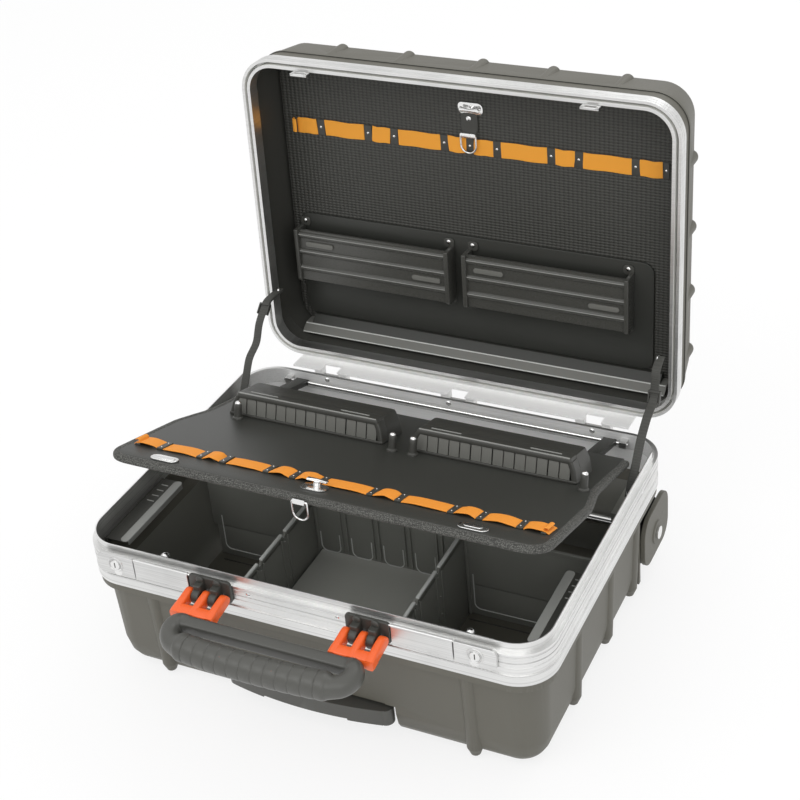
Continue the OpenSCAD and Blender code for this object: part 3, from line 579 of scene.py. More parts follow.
# each node's finish, the width of its rounded edges, and the tests and finishes of its inner faces
plain = {"base_shell": (shellPlastic, shell["edge"], (baseInside, bayLitPlastic), (tunnelTop, floorPlastic),
                        (rearLitBand, litWhiteMetal)),
         "base_frame": (frameMetal, 0.35, (rearInside, satinMetal)),
         "lid_shell": (shellPlastic, shell["edge"], (lidInside, deepPlastic)),
         "lid_frame": (lidMetal, 0.35, (channelInside, channelLitPaint)),
         "axle_tube": (chrome, 0.2), "wheel_housing_left": (shellPlastic, 1.6),
         "wheel_housing_right": (shellPlastic, 1.6), "axle_bolts": (chrome, 0.3),
         "wheel_left": (tyreRubber, 0.5), "wheel_right": (tyreRubber, 0.5),
         "tube_clamps": (blackPlastic, 0.6), "trolley_tubes": (trimMetal, 0.2),
         "trolley_sleeves": (chrome, 0.2), "trolley_rods": (chrome, 0), "trolley_grip": (gripPlastic, 2.5),
         "latch_domes": (chrome, 0.2), "latch_pins": (chrome, 0),
         "handle_pins": (blackPlastic, 0.2), "hinge_arms": (hingeMetal, 0.3), "hinge_pins": (chrome, 0.2),
         "board_brackets": (trimMetal, 0.3), "board_rod": (chrome, 0), "board_tab": (chrome, 0.2),
         "lid_hinge_leaf": (litWhiteMetal, 0.3), "frame_rivets": (chrome, 0), "rib_feet": (tyreRubber, 0.6),
         "lid_board": (lidSheet, 0.3)}
for node, (finish, width, *others) in plain.items():
    if width:
        refined(node, finish, width, *others)
    else:
        paint(node, finish)
print("carried pieces finished")

# carry handle
handle = {"legX": 92, "barY": -34, "gripY": -61.65, "bow": 900, "corner": 16, "barCorner": 8, "step": 0.5,
          "grooves": 14, "grooveReach": 78, "grooveDeep": 0.75, "grooveWide": 0.55, "swell": 0.22,
          "gripR": 12.5, "legR": 10.2, "bar": (6.4, 7), "marks": (-26, 26), "markAt": (-66.2858, 10.9),
          "markTurn": -32}


def smooth(values, count, ends="edge"):  # a weighted mean of count neighbours
    ease = np.hanning(count + 2)[1:-1]
    return np.convolve(np.pad(values, count // 2, mode=ends), ease / ease.sum(), "valid")


def handleLoop():
    # closed path: back bar, round corner, leg, wide corner, bowed grip and the same back again;
    # the section's half sizes follow the path, with a narrow dip of a bell curve for each groove
    h = handle
    n = 420
    end, barEnd = h["legX"] - h["corner"], h["legX"] - h["barCorner"]
    gx = np.linspace(end, -end, n)
    grip = np.column_stack([gx, h["gripY"] + gx ** 2 / (2 * h["bow"])])
    a = np.linspace(0, pi / 2, 22)[1:-1]
    endY = grip[0, 1] + h["corner"]
    wide = np.column_stack([end + h["corner"] * np.cos(a), endY - h["corner"] * np.sin(a)])
    small = np.column_stack([barEnd + h["barCorner"] * np.sin(a),
                             h["barY"] - h["barCorner"] + h["barCorner"] * np.cos(a)])
    bar = np.column_stack([np.linspace(-barEnd, barEnd, 60), np.full(60, h["barY"])])
    leg = [[h["legX"], (h["barY"] - h["barCorner"] + endY) / 2]]
    right = np.concatenate([small, leg, wide])
    left = right[::-1] * [-1, 1]
    path = np.concatenate([bar, right, grip, left])
    kind = np.concatenate([np.zeros(60), np.ones(len(right)), np.full(n, 2.0), np.ones(len(left))])
    half = np.choose(kind.astype(int), [h["bar"][0], h["legR"] * 0.92, h["gripR"]])
    tall = np.choose(kind.astype(int), [h["bar"][1], h["legR"], h["gripR"]])
    far = distances(path)
    even = np.arange(0, far[-1], h["step"])
    wrap = lambda v: np.interp(even, far, v)
    x, y = wrap(path[:, 0]), wrap(path[:, 1])
    onGrip = wrap(kind) > 1.9
    reach = h["grooveReach"]
    grooves = np.linspace(-reach, reach, h["grooves"])
    dips = sum(np.exp(-((x - g) / h["grooveWide"]) ** 2) for g in grooves) * onGrip
    swell = np.where(onGrip, h["swell"] * np.sin(pi * (x + reach) / (grooves[1] - grooves[0])) ** 2, 0)
    sides, ups = (smooth(wrap(v), 23, "wrap") for v in (half, tall))
    cut = dips * h["grooveDeep"] - swell
    boxy = smooth(np.clip(1 - wrap(kind), 0, 1), 23, "wrap")[:, None, None]
    shape = oval(1, 1, 40, 2.25) * (1 - boxy) + oval(1, 1, 40, 5) * boxy
    section = shape * np.stack([sides - cut, ups - cut], -1)[:, None]
    return sweep(np.column_stack([x, y, np.zeros(len(x))]), section, closed=True)


pile = Pile().add(handleLoop())
for x in handle["marks"]:  # two small round marks on the grip
    pile.add(turned(dome(0.9, 0.35), Matrix.Rotation(radians(handle["markTurn"]), 3, "X"),
                    (x, *handle["markAt"])), 1)
instead("handle_grip", "carryLoop", pile, [gripPlastic, orangePlastic], 50)

knuckle = {"first": 59, "lobe": 9, "lobes": 3, "step": 18.0, "reach": 27.2, "top": 6.6, "taper": 0.06,
           "foot": (-27.4, -15.5, -6.2, 5.9, 2.2, 2.4)}


def span(side, a, b):  # two distances from the middle, on one side, in rising order
    return sorted((side * a, side * b))


def lobe(x, side):
    # each lobe runs outwards from its round head; the section is a soft box that widens to the foot
    k = knuckle
    t = np.concatenate([np.linspace(-1, -0.2, 9), np.linspace(0, 1, 12)])
    past = np.clip(t, 0, 1)
    y = np.where(t < 0, -t * k["top"], -t * k["reach"])
    tall = np.where(t < 0, np.sqrt(np.clip(1 - t ** 2, 0.001, 1)) * k["top"], k["top"] - 0.5 * past)
    wide = k["lobe"] / 2 * (1 - k["taper"] + k["taper"] * past) * np.where(t < -0.8, 0.9, 1)
    section = oval(1, 1, 28, 3.6) * np.stack([wide, tall], -1)[:, None]
    return sweep(np.column_stack([np.full(len(y), side * x), y, np.zeros(len(y))]), section)


pile = Pile()
for side in (-1, 1):
    for i in range(knuckle["lobes"]):
        pile.add(lobe(knuckle["first"] + knuckle["lobe"] / 2 + i * knuckle["step"], side))
    last = knuckle["first"] + (knuckle["lobes"] - 1) * knuckle["step"] + knuckle["lobe"]
    pile.add(slab(*span(side, knuckle["first"], last), *knuckle["foot"]))
instead("handle_knuckles", "orangeKnuckles", pile, orangePlastic, 50)

middle = -8  # centre of the front fittings across the width
bracket = {"out": 81.6, "plate": (44.6, 24.3, 3.8), "wall": -175.1, "low": 131, "finger": 72.5, "step": 18.0,
           "wrap": (35, 232), "wrapR": 5.2, "section": (4.05, 2.3), "block": (-188.2, -176.6, 139.5, 151)}
pile = Pile()
for side in (-1, 1):
    wide, tall, thick = bracket["plate"]
    left = middle + side * bracket["out"] - wide / 2
    pile.add(turned(slab(0, wide, 0, tall, 0, thick, 1.1, 4), forward,
                    (left, bracket["wall"], bracket["low"])))
    for i in range(2):
        x = middle + side * (bracket["finger"] + i * bracket["step"])
        # a finger over the pin: up from the plate, over in an arc, and down to a round tip
        a = np.linspace(*np.radians(bracket["wrap"]), 26)
        arc = np.column_stack([np.full(26, x), pins["handle"][1] + bracket["wrapR"] * np.cos(a),
                               pins["handle"][2] + bracket["wrapR"] * np.sin(a)])
        lead = np.array([[x, -177.5, 150.5], [x, -178.6, 149.6], [x, -180.4, 146.8]])
        pile.add(sweep(np.concatenate([lead, arc]), oval(*bracket["section"], 20, 3.2), up=(0, -0.6, 0.8)))
        pile.add(slab(x - 4.1, x + 4.1, *bracket["block"], 1.2, 2.2))
        pile.add(turned(dome(4.1, 2.0, base=1.2), forward, (x, -178.8, 152.5)))
instead("handle_brackets", "handleBrackets", pile, blackPlastic, 40)
print("handle made")

# front latches
latch = {"leverIn": 105, "leverOut": 164.6, "lockIn": 165.6, "lockOut": 206, "key": 186, "low": 131.5,
         "leverTop": 153.6, "lockTop": 154.5, "thick": 3.9, "leverR": 1.2, "lockR": (6, 1, 1, 6),
         "keyZ": 144, "hook": 158}


def corners(w, d, radii, n=6):  # four quarter circles, each with its own radius, from the upper right
    a = np.concatenate([np.linspace(0, pi / 2, n + 1) + k * pi / 2 for k in range(4)])
    r = np.repeat(np.maximum(radii, 0.05), n + 1)
    sx, sy = np.repeat([1, -1, -1, 1], n + 1), np.repeat([1, 1, -1, -1], n + 1)
    return np.stack([sx * (w / 2 - r) + r * np.cos(a), sy * (d / 2 - r) + r * np.sin(a)], 1)


def frontPlate(xs, z0, z1, back, thick, radii, e=0.7):
    # a plate on the front wall; its outline lies in X and Z and its face looks to the front
    x0, x1 = sorted(xs)
    outline = lambda i: corners(x1 - x0 - 2 * i, z1 - z0 - 2 * i, np.array(radii) - i)
    return turned(stack(outline, soft(0, thick, e, 0.05)), forward, ((x0 + x1) / 2, back, (z0 + z1) / 2))


for side, word in ((-1, "left"), (1, "right")):
    a, b = middle + side * latch["leverIn"], middle + side * latch["leverOut"]
    pile = Pile().add(frontPlate((a, b), latch["low"], latch["leverTop"], -175.4, latch["thick"],
                                 [latch["leverR"]] * 4))
    pile.add(sweep(np.array([[a, -177.3, 152.9], [b, -177.3, 152.9]]), oval(1.9, 1.9, 20)))
    mid = (a + b) / 2
    pile.add(frontPlate((mid - 24, mid + 24), 133.6, 135.0, -179.2, 0.35, [0.6] * 4, 0.2))
    instead("latch_lever_" + word, "lever_" + word, pile, trimMetal)
    key = middle + side * latch["key"]
    barrel = stack(lambda i: oval(5 - i, 5 - i, 32), soft(0, 4.3, 0.5, 0.05))
    pile = Pile().add(turned(barrel, forward, (key, -176.1, latch["keyZ"])))
    pile.add(turned(slab(-0.55, 0.55, -3, 3, 0, 0.5, 0.1), forward, (key, -180.05, latch["keyZ"])), 1)
    instead("key_cylinder_" + word, "key_" + word, pile, [chrome, blackPlastic])
pile = Pile()
for side in (-1, 1):
    ends = middle + side * latch["lockIn"], middle + side * latch["lockOut"]
    key = middle + side * latch["key"]
    pile.add(frontPlate(ends, latch["low"], latch["lockTop"], -175.3, latch["thick"],
                        np.roll(latch["lockR"], 0 if side > 0 else 2)))
    # rosette: a raised rim and a finer ring round the key, and a polished hollow below it
    t = np.linspace(0, 2 * pi, 48, endpoint=False)
    for r, rim, k in ((7.6, 0.9, 12), (5.6, 0.45, 10)):
        ring = np.column_stack([key + r * np.cos(t), np.full(48, -179.3), latch["keyZ"] + r * np.sin(t)])
        pile.add(sweep(ring, oval(rim, 0.7, k), up=(0, 1, 0), closed=True))
    pile.add(turned(dome(4.6, 0.9, base=0.05), forward, (key - side * 1.5, -179.15, 135.9)), 1)
instead("lock_bodies", "lockCovers", pile, [trimMetal, chrome])

catch = {"out": 152, "half": 44, "slot": 11, "front": -169.7, "back": -159, "z": (147.6, 149.6)}
pile = Pile()
for side in (-1, 1):  # catch plates behind the front frame, each with a slot for its hook
    mid, gap = middle + side * catch["out"], middle + side * latch["hook"]
    wings = ((mid - catch["half"], gap - catch["slot"]), (gap + catch["slot"], mid + catch["half"]))
    for wing in wings:
        pile.add(slab(*wing, catch["front"], catch["back"], *catch["z"], 0.4))
    for edge in ((catch["front"], -166.8), (-162.3, catch["back"])):
        pile.add(slab(gap - 12, gap + 12, *edge, *catch["z"], 0.3))
    for wing in wings:
        pile.add(slab(*wing, catch["front"], -167.7, 136, 148, 0.3))
    # a thin black strip along the top front edge: a painted shadow line
    pile.add(slab(mid - catch["half"], mid + catch["half"], -169.75, -169.1, 149.2, 149.75, 0.1), 1)
instead("latch_plates", "catchPlates", pile, [satinMetal, blackPlastic])
print("latches made")

# side rails
rails = {"inner": 209, "outer": 234.7, "front": -139, "back": -36, "plate": (135, 136.4), "skirt": (128, 136),
         "cap": (135.2, 137), "capWide": 9.5, "lip": (131, 136), "marks": (-74, -65, -56, -47)}
for word, side in (("left", -1), ("right", 1)):
    r = rails
    pile = Pile()
    pile.add(slab(*span(side, r["inner"] + 1, r["outer"]), r["front"], r["back"], *r["plate"], 0.5))
    pile.add(slab(*span(side, r["outer"] - 2, r["outer"]), r["front"], r["back"], *r["skirt"], 0.5))
    pile.add(slab(*span(side, r["inner"], r["inner"] + r["capWide"]), r["front"], r["back"], *r["cap"],
                  0.7, 4.5), 1)
    pile.add(slab(*span(side, r["inner"], r["inner"] + 2), r["front"] + 3, r["back"] - 3, *r["lip"], 0.5), 1)
    for y in r["marks"]:
        pile.add(slab(*span(side, r["inner"] + 12, r["inner"] + 20), y, y + 1.2, 136.2, 136.8, 0.3), 1)
    instead("side_rail_" + word, "rail_" + word, pile, [blackPlastic, railPaint])

# dividers
bays = {"left": -91, "right": 78.4, "thick": 2.6, "front": -153, "back": 10.7, "wall": 106.8,
        "cuts": (-153, -98, -94, -50, -46, 10.7), "uprights": (-104, -92, -56, -44),
        "studs": (-96, -48), "studZ": (101, 78, 56)}
for word in ("left", "right"):
    x, wide = bays[word], bays["thick"]
    pile = Pile()
    pile.add(slab(x, x + wide, -116.5, bays["back"], 7.4, bays["wall"], 0.5))
    pile.add(slab(x, x + wide, bays["front"], -116, 42.5, bays["wall"], 0.5))
    for a, b in zip(bays["cuts"][::2], bays["cuts"][1::2]):  # the top edge, with a pale strip on each length as a painted highlight
        pile.add(slab(x, x + wide, a, b, 104, 110.6, 0.5))
        pile.add(slab(x - 0.5, x + wide + 0.5, a + 1.2, b - 1.2, 109.9, 112.2, 0.7), 1)
    for y in bays["uprights"]:
        for a in (x - 1.7, x + 2.5):
            pile.add(slab(a, a + 1.8, y, y + 1.6, 43.4, bays["wall"], 0.4))
    for y in bays["studs"]:
        for z in bays["studZ"]:
            pile.add(turned(dome(0.9, 0.5), sideways[1], (x + wide, y, z)), 2)
            pile.add(turned(dome(0.9, 0.5), sideways[-1], (x, y, z)), 2)
        pile.add(dome(1.3, 0.7, x + wide / 2, y, 106.6), 2)
    instead("divider_" + word, "divider_" + word + "_made", pile, [dividerLitPlastic, edgeHighlight, chrome])


cross = {"half": 217, "y": (13, 15.6), "z": (46.5, 106.6),
         "legs": ((-212, -89), (79, 212)), "legZ": (8.3, 48),
         "caps": ((-216.5, -96), (-86, 73), (83, 216.5)), "capY": (12.6, 16), "capZ": (106, 112),
         "guides": ((-94.2, 8.3), (-87.8, 46.5), (75.2, 46.5), (81.6, 8.3)), "ribs": (-55, -18, 18, 54),
         "middleHighlights": ((-84, -62), (-48, -25), (-11, 11), (25, 47), (60, 74)), "middleZ": (46, 70),
         "sideHighlights": ((-205, -100), (88, 200)), "sideZ": (16, 60), "bead": 0.55, "beadR": 7, "beadY": 12.9}


def highlightBeadLoop(x0, x1, z0, z1):  # an open U of thin bead on the cross plate, with quarter circles at its foot: a painted highlight on its rounded lower edges
    r, thick = cross["beadR"], cross["bead"]
    a = np.linspace(0, pi / 2, 8)
    left = np.column_stack([x0 + r - r * np.cos(a), z0 + r - r * np.sin(a)])
    right = left[::-1][1:] * [-1, 1] + [x0 + x1, 0]
    path = np.concatenate([[[x0, z1]], left, [[x1 - r, z0]], right, [[x1, z1]]])
    line = np.column_stack([path[:, 0], np.full(len(path), cross["beadY"]), path[:, 1]])
    return sweep(line, oval(thick, thick, 8), up=(0, 1, 0))


pile = Pile()
pile.add(slab(-cross["half"], cross["half"], *cross["y"], *cross["z"], 0.4))
for leg in cross["legs"]:
    pile.add(slab(*leg, *cross["y"], *cross["legZ"], 0.4))
for cap in cross["caps"]:
    pile.add(slab(*cap, *cross["capY"], *cross["capZ"], 0.8), 1)
for x, low in cross["guides"]:  # the slots that hold the long dividers
    pile.add(slab(x, x + 2.6, 11, 13.2, low, 111.5, 0.5))
for x in cross["ribs"]:
    for d in (-4, 2.4):
        pile.add(slab(x + d, x + d + 1.6, 10.7, 13.2, 50, 110, 0.45))
# pale U lines on the cross plate: painted highlights along its rounded lower edges
for beads, heights in (("middleHighlights", "middleZ"), ("sideHighlights", "sideZ")):
    for ends in cross[beads]:
        pile.add(highlightBeadLoop(*ends, *cross[heights]), 2)
instead("divider_back", "crossPlate", pile, [dividerLitPlastic, dividerLitPlastic, edgeHighlight])

lining = {"middle": (-26, -18), "sides": ((-205, -97), (84, 200)), "sideY": (-142, 4)}
pile = Pile()  # raised lines on the floor of the bays
for x in lining["middle"]:
    pile.add(slab(x, x + 1.1, -95, -66, 42.9, 43.6, 0.25))
for ends in lining["sides"]:
    for y in lining["sideY"]:
        pile.add(slab(*ends, y, y + 1.2, 6.9, 7.9, 0.3))
pile.done("floorLines", deepPlastic, "case_base")
print("bays made")

# tool board
board = {"shift": 7, "length": 318, "front": 224, "rear": 214, "back": 46, "cornerR": 22,
         "half": 3.6, "inset": 7, "arms": (-186, 174), "arm": (-61, 3.2), "eye": 3.3,
         "edge": (4.4, 3.75), "edgeWaver": (0.25, 0.2),
         "edgeStep": 2.2, "edgeBack": -56}


def boardOutline(i):
    # half outline from the rear edge, past the notch and round the front corner, then its mirror image
    rear, wide, r = board["rear"] - i, board["front"] - i, board["cornerR"] - i
    a = np.linspace(0, pi / 2, 14)
    arc = np.column_stack([wide - r + r * np.cos(a), -board["length"] + i + r - r * np.sin(a)])
    slant = -i * 0.3
    side = [[rear, -board["back"] - i], [rear, slant - 146], [rear + 1, slant - 154],
            [wide - 1.4, slant - 189], [wide, slant - 196]]
    half = np.concatenate([side, arc])
    return np.concatenate([half, half[::-1] * [-1, 1]])[::-1]


pile = Pile().add(stack(lambda i: boardOutline(i + board["inset"]), soft(-board["half"], board["half"], 0.5)))
for x in board["arms"]:  # the two arms that run back to the hinge rod
    rear, thick = board["arm"]
    pile.add(slab(x - 7, x + 7, rear, 0, -thick, thick, 0.8))
    pile.add(sweep(np.array([[x - 7, 0, 0], [x + 7, 0, 0]]), oval(board["eye"], board["eye"], 24)))
instead("base_board", "boardSheetPiece", pile, boardSheet)

# the bound edge: an oval section carried round the outline, with a slow random waver in its size
line = boardOutline(4.5)[::-1]
far = distances(line)
even = np.arange(0, far[-1], board["edgeStep"])
line = np.column_stack([np.interp(even, far, line[:, k]) for k in (0, 1)])
for _ in range(2):
    line = np.column_stack([smooth(line[:, k], 7) for k in (0, 1)])
line = line[line[:, 1] < board["edgeBack"]]
rng = np.random.default_rng(7)
waver = np.convolve(rng.normal(0, 1, len(line) + 14), np.ones(15) / 15, "valid")
section = oval(1, 1, 22, 2.7) * (np.array(board["edge"]) + np.outer(waver, board["edgeWaver"]))[:, None]
pile = Pile().add(sweep(np.column_stack([line, np.zeros(len(line))]), section))
instead("board_binding", "boardEdge", pile, edgeTape)

band = {"y": -273.5, "z": 3.6, "wide": 18.4, "clip": 3.1, "clipY": (-283.4, -263.6), "clipTop": 5.7,
        "studs": (-279.5, -267.5), "curlWide": 16, "ends": (-209, 208.6), "curls": ((-213, 1), (212.8, -1)),
        "segs": [(-207, -180), (-174, -136), (-130, -112), (-104, -64), (-58, -36), (-30, -8), (-2, 44),
                 (50, 72), (78, 124), (130, 152), (158, 190), (196, 221)]}


def bandPiece(x0, x1, y, z, wide, bow, seed):
    # a strip that lifts as a half sine between its clips, with a slow sideways ripple
    u = np.linspace(0, 1, 26)
    shift = 0.35 * np.sin(2 * pi * (u * 1.3 + seed * 0.37))
    path = np.column_stack([x0 + (x1 - x0) * u, y + shift, z + 0.6 + bow * np.sin(pi * u) ** 0.8])
    return sweep(path, oval(wide / 2, 0.55, 22, 5))


def curl(x, y, z, wide, way):  # the free end of a band, rolled up in most of a circle
    a = np.linspace(-pi / 2, pi * 0.8, 20)
    path = np.column_stack([np.concatenate([[x], x + way * (2.5 + 2.6 * np.cos(a))]),
                            np.concatenate([[z + 0.5], z + 3.1 + 2.6 * np.sin(a)])])
    run = unit(np.gradient(path, axis=0))
    o = oval(wide / 2, 0.5, 18, 5)
    across = np.broadcast_to(y + o[:, 0], (len(path), len(o)))
    return rings(list(np.stack([path[:, :1] - run[:, 1:] * o[:, 1], across,
                                path[:, 1:] + run[:, :1] * o[:, 1]], -1)))


pile, clips = Pile(), Pile()
for n, (a, b) in enumerate(band["segs"]):
    bow = 2.7 if b - a < 30 else (1.9 if b - a < 36 else 1.1)  # the shorter loops stand higher
    pile.add(bandPiece(a - board["shift"], b - board["shift"], band["y"], band["z"], band["wide"], bow, n))
    if n:
        x = (band["segs"][n - 1][1] + a) / 2 - board["shift"]
        clips.add(slab(x - band["clip"], x + band["clip"], *band["clipY"], band["z"], band["clipTop"], 0.5))
        for y in band["studs"]:
            clips.add(dome(0.8, 0.4, x, y, 5.5), 1)
for x, way in band["curls"]:
    pile.add(curl(x, band["y"], band["z"], band["curlWide"], way))
for x in band["ends"]:
    clips.add(slab(x - 2.6, x + 2.6, *band["clipY"], band["z"], 5.5, 0.5))
    for y in band["studs"]:
        clips.add(dome(0.8, 0.4, x, y, 5.3), 1)
instead("board_band", "boardElastic", pile, elasticTape)
instead("board_clips", "boardClipsMade", clips, [blackPlastic, chrome])

trays = {"middles": (-93, 111), "wide": 176, "low": 3.65, "slats": 14, "slatGap": 0.45, "slatEnd": 8,
         "body": [(0, 0, 0), (2, 0, 0), (14, 3, 0.5), (21.5, 7, 1.2), (23.4, 8, 2.0), (24, 9.5, 3.4)],
         "hood": [(18.6, 8, 0.2), (19.2, 7.4, 0), (22.4, 8, 0), (23.7, 8.8, 0.6), (24.2, 10, 1.8)],
         "wall": [(0, 0), (12, 2.4), (20.5, 6.4)]}  # heights and how far the outline has drawn in


def tray(x):
    # rounded outlines that draw in as they rise, with a row of slats in the window at the front
    w, z0 = trays["wide"] / 2, trays["low"]
    level = lambda outline, place, z: np.column_stack([outline + place, np.full(len(outline), z0 + z)])
    yield rings([level(roundRect(2 * (w - i), 34 - 2 * j, 3, 5), [x, -122], z)
                 for z, i, j in trays["body"]]), 0
    yield rings([level(roundRect(2 * (w - i), 18 - 2 * j, 2.5, 5), [x, -141], z)
                 for z, i, j in trays["hood"]]), 0
    yield slab(x - w, x + w, -151, -136, z0, z0 + 2.6, 0.7, 2), 0
    for s in (-1, 1):  # the end walls of the window, and the pale marks on the hood
        yield rings([level(roundRect(6, 17, 2, 5), [x + s * (w - 3.2 - i), -141.6], z)
                     for z, i in trays["wall"]]), 0
        yield slab(x + s * 52 - 16, x + s * 52 + 16, -143, -141.6, z0 + 23.9, z0 + 24.9, 0.3), 1
    yield slab(x - w + 9.5, x + w - 9.5, -149.9, -148.3, z0 + 23.2, z0 + 24.5, 0.4), 1
    pitch = 2 * (w - trays["slatEnd"]) / trays["slats"]
    half = pitch / 2 - trays["slatGap"]
    for i in range(trays["slats"]):  # hanging slats; their lower ends are a little uneven
        low = z0 + 1.0 + rng.uniform(0, 1.1)
        cx = x - w + trays["slatEnd"] + (i + 0.5) * pitch + rng.uniform(-0.25, 0.25)
        yield slab(cx - half, cx + half, -149.3, -147.7, low, z0 + 19.6, 0.5), 2


pile = Pile()
for x in trays["middles"]:
    for part, kind in tray(x - board["shift"]):
        pile.add(part, kind)
instead("tool_trays", "toolTrays", pile, [blackPlastic, railPaint, slatPlastic])

posts = {"places": (-165, 10, 32, 209), "y": -160, "r": 4.1, "head": 19.4,
         "levels": [(3.65, -1.6), (5, -1.4), (6.2, 0), (15, 0.3), (18.2, 0.4), (19.6, 1.1)]}
badges = {"places": (-158, 158), "y": -303, "plate": (29, 13), "rim": (24, 9.4), "plain": (22, 7.6),
          "heart": (18, 6.4)}


def badge(kind, place, z0, z1, e):  # a rounded oval plate
    w, d = badges[kind]
    return stack(lambda i: roundRect(w - 2 * i, d - 2 * i, d / 2 - i - 0.1, 8) + place, soft(z0, z1, e, 0.05))


pile, bright = Pile(), Pile()
for x in posts["places"]:
    x -= board["shift"]
    pile.add(stack(lambda i: oval(posts["r"] - i, posts["r"] - i, 28) + [x, posts["y"]], posts["levels"]))
    bright.add(dome(3.3, 2.6, x, posts["y"], posts["head"], 0.5))
instead("tray_posts", "trayPosts", pile, blackPlastic)
for x in badges["places"]:  # bare oval plates: one plain, one with a dark ring and a raised heart
    spot = [x - board["shift"], badges["y"]]
    bright.add(badge("plate", spot, 4.02, 5.3, 0.5))
    if x > 0:
        bright.add(badge("rim", spot, 5.2, 5.5, 0.2), 1)
        bright.add(badge("heart", spot, 5.4, 6.3, 0.5))
    else:
        bright.add(badge("plain", spot, 5.2, 5.8, 0.3))
instead("board_ovals", "boardBadges", bright, [chrome, blackPlastic])

wing = {"hub": 3.4, "reach": 11, "waist": 1.6, "flare": 1.5, "thick": 1.5, "high": 4.6}


def turnWing(up):  # a two-armed catch on a round hub, in X and Y; its width grows with the distance outwards
    hub = stack(lambda i: oval(wing["hub"] - i, wing["hub"] - i, 24), soft(0, 4.2, 0.5, 0.05))
    u = np.linspace(-1, 1, 25)
    out = np.abs(u)
    wide = wing["waist"] + wing["flare"] * out ** 1.5 * (1 - 0.25 * out ** 6)
    section = oval(1, 1, 20, 3) * np.stack([wide, wing["thick"] - 0.3 * out], -1)[:, None]
    section[[0, -1]] *= 0.4
    path = np.column_stack([wing["reach"] * u, np.full(25, up), np.full(25, wing["high"])])
    return hub, sweep(path, section)


pile = Pile()
for verts, faces in turnWing(0.6):
    pile.add((verts + [-11, -287.5, 5.05], faces))
instead("board_lock", "boardCatch", pile, chrome)


def wireRing(w, h, r):  # D ring: a straight bar and a half circle hanging below it, in X and Z
    a = np.linspace(0, pi, 26)
    bow = np.column_stack([-w / 2 * np.cos(a), -(h - w / 2) - w / 2 * np.sin(a)])
    bar = np.column_stack([np.linspace(w / 2 - 1, -w / 2 + 1, 8), np.zeros(8)])
    left = np.array([[-w / 2 + 0.3, -0.3], [-w / 2, -1.0]])
    path = np.concatenate([bar, left, bow, left[::-1] * [-1, 1]])
    line = np.column_stack([path[:, 0], np.zeros(len(path)), path[:, 1]])
    return sweep(line, oval(r, r, 14), up=(0, 1, 0), closed=True)


pile = Pile().add(turned(wireRing(15.5, 20, 1.1), Matrix.Rotation(boardTurn, 3, "X"), (-11, -320.6, -0.4)))
instead("board_ring", "boardRingMade", pile, chrome)
print("tool board made")

# lid fittings; drawn as if the lid were closed
lid = {"board": 207, "bandY": -81, "bandWide": 17.8, "clip": 4.4, "end": 3, "clipY": (-90, -72),
       "ends": (-213, 208), "studY": -81.5, "curlAt": -209, "catch": (-3, -123), "rivets": (-13, 7),
       "segs": [(-209, -186), (-176, -129), (-119, -98), (-88, -39), (-30, -9), (-1, 21), (30, 81),
                (90, 111), (120, 172), (180, 204)]}


def under(part, x=0, y=0, z=lid["board"]):  # a part drawn upwards, hung below the lid board
    verts, faces = part
    return verts * [1, 1, -1] + [x, y, z], faces


pile, clips = Pile(), Pile()
for n, (a, b) in enumerate(lid["segs"]):
    bow = 1.0 if b - a < 30 else 0.6
    pile.add(under(bandPiece(a, b, lid["bandY"], 0, lid["bandWide"], bow, n + 3)))
    if n:
        x = (lid["segs"][n - 1][1] + a) / 2
        clips.add(under(slab(x - lid["clip"], x + lid["clip"], *lid["clipY"], 0, 1.3, 0.4)))
        clips.add(under(dome(1.5, 0.7, x, lid["studY"], 1.1)), 1)
for x in lid["ends"]:
    clips.add(under(slab(x - lid["end"], x + lid["end"], *lid["clipY"], 0, 1.3, 0.4)))
    clips.add(under(dome(1.4, 0.7, x, lid["studY"], 1.1)), 1)
pile.add(under(curl(lid["curlAt"], lid["bandY"], 0, 15, -1)))
instead("lid_band", "lidElasticBand", pile, lidElastic)
# leather tab with its rivet and clamp, and the plate of the turning catch
clips.add(under(slab(-14, 5, -118, -96, 0, 1.6, 0.5, 5)))
clips.add(under(dome(3.2, 1.6, -5, -112, 1.4)), 1)
clips.add(under(slab(-14, 4, -97.2, -92, 0.2, 6.9, 0.8, 1.4)), 1)
oblong = lambda i: corners(28 - 2 * i, 13 - 2 * i, np.array([4.5, 6, 4.5, 6]) - i) + lid["catch"]
clips.add(under(stack(oblong, soft(0, 1.3, 0.4, 0.05))), 1)
for x in lid["rivets"]:
    clips.add(under(dome(1.6, 0.8, x, lid["catch"][1], 1.2)), 1)
instead("lid_clips", "lidClipsMade", clips, [blackPlastic, chrome])

hooks = {"y": (-165.35, -163.6), "rivets": (-185, -62, 62, 185), "rivetZ": 157}
pile = Pile()
for side in (-1, 1):  # hooks: a stem up the frame, a window, and a lip that turns in at the foot
    x = middle + side * latch["hook"]
    pile.add(slab(x - 6.5, x + 6.5, *hooks["y"], 149, 164, 0.35))
    for s in (-1, 1):
        pile.add(slab(x + s * 7.7 - 1.8, x + s * 7.7 + 1.8, *hooks["y"], 142, 151, 0.35))
    pile.add(slab(x - 9.5, x + 9.5, *hooks["y"], 148.4, 151, 0.35))
    pile.add(slab(x - 9.5, x + 9.5, hooks["y"][0], -162.5, 142, 144.2, 0.5))
for x in hooks["rivets"]:
    pile.add(turned(dome(2.4, 1.0), backward, (x, -165.4, hooks["rivetZ"])), 1)
instead("lid_fittings", "lidHooks", pile, [trimMetal, chrome])
pile = Pile()
for part in turnWing(0):
    pile.add(under(part, *lid["catch"], lid["board"] - 1.3))
instead("lid_lock", "lidCatch", pile, chrome)
pile = Pile().add(turned(wireRing(17, 20, 1.15), Matrix.Rotation(lidTurn, 3, "X"), (-5, -94.5, 202)))
instead("lid_ring", "lidRingMade", pile, chrome)

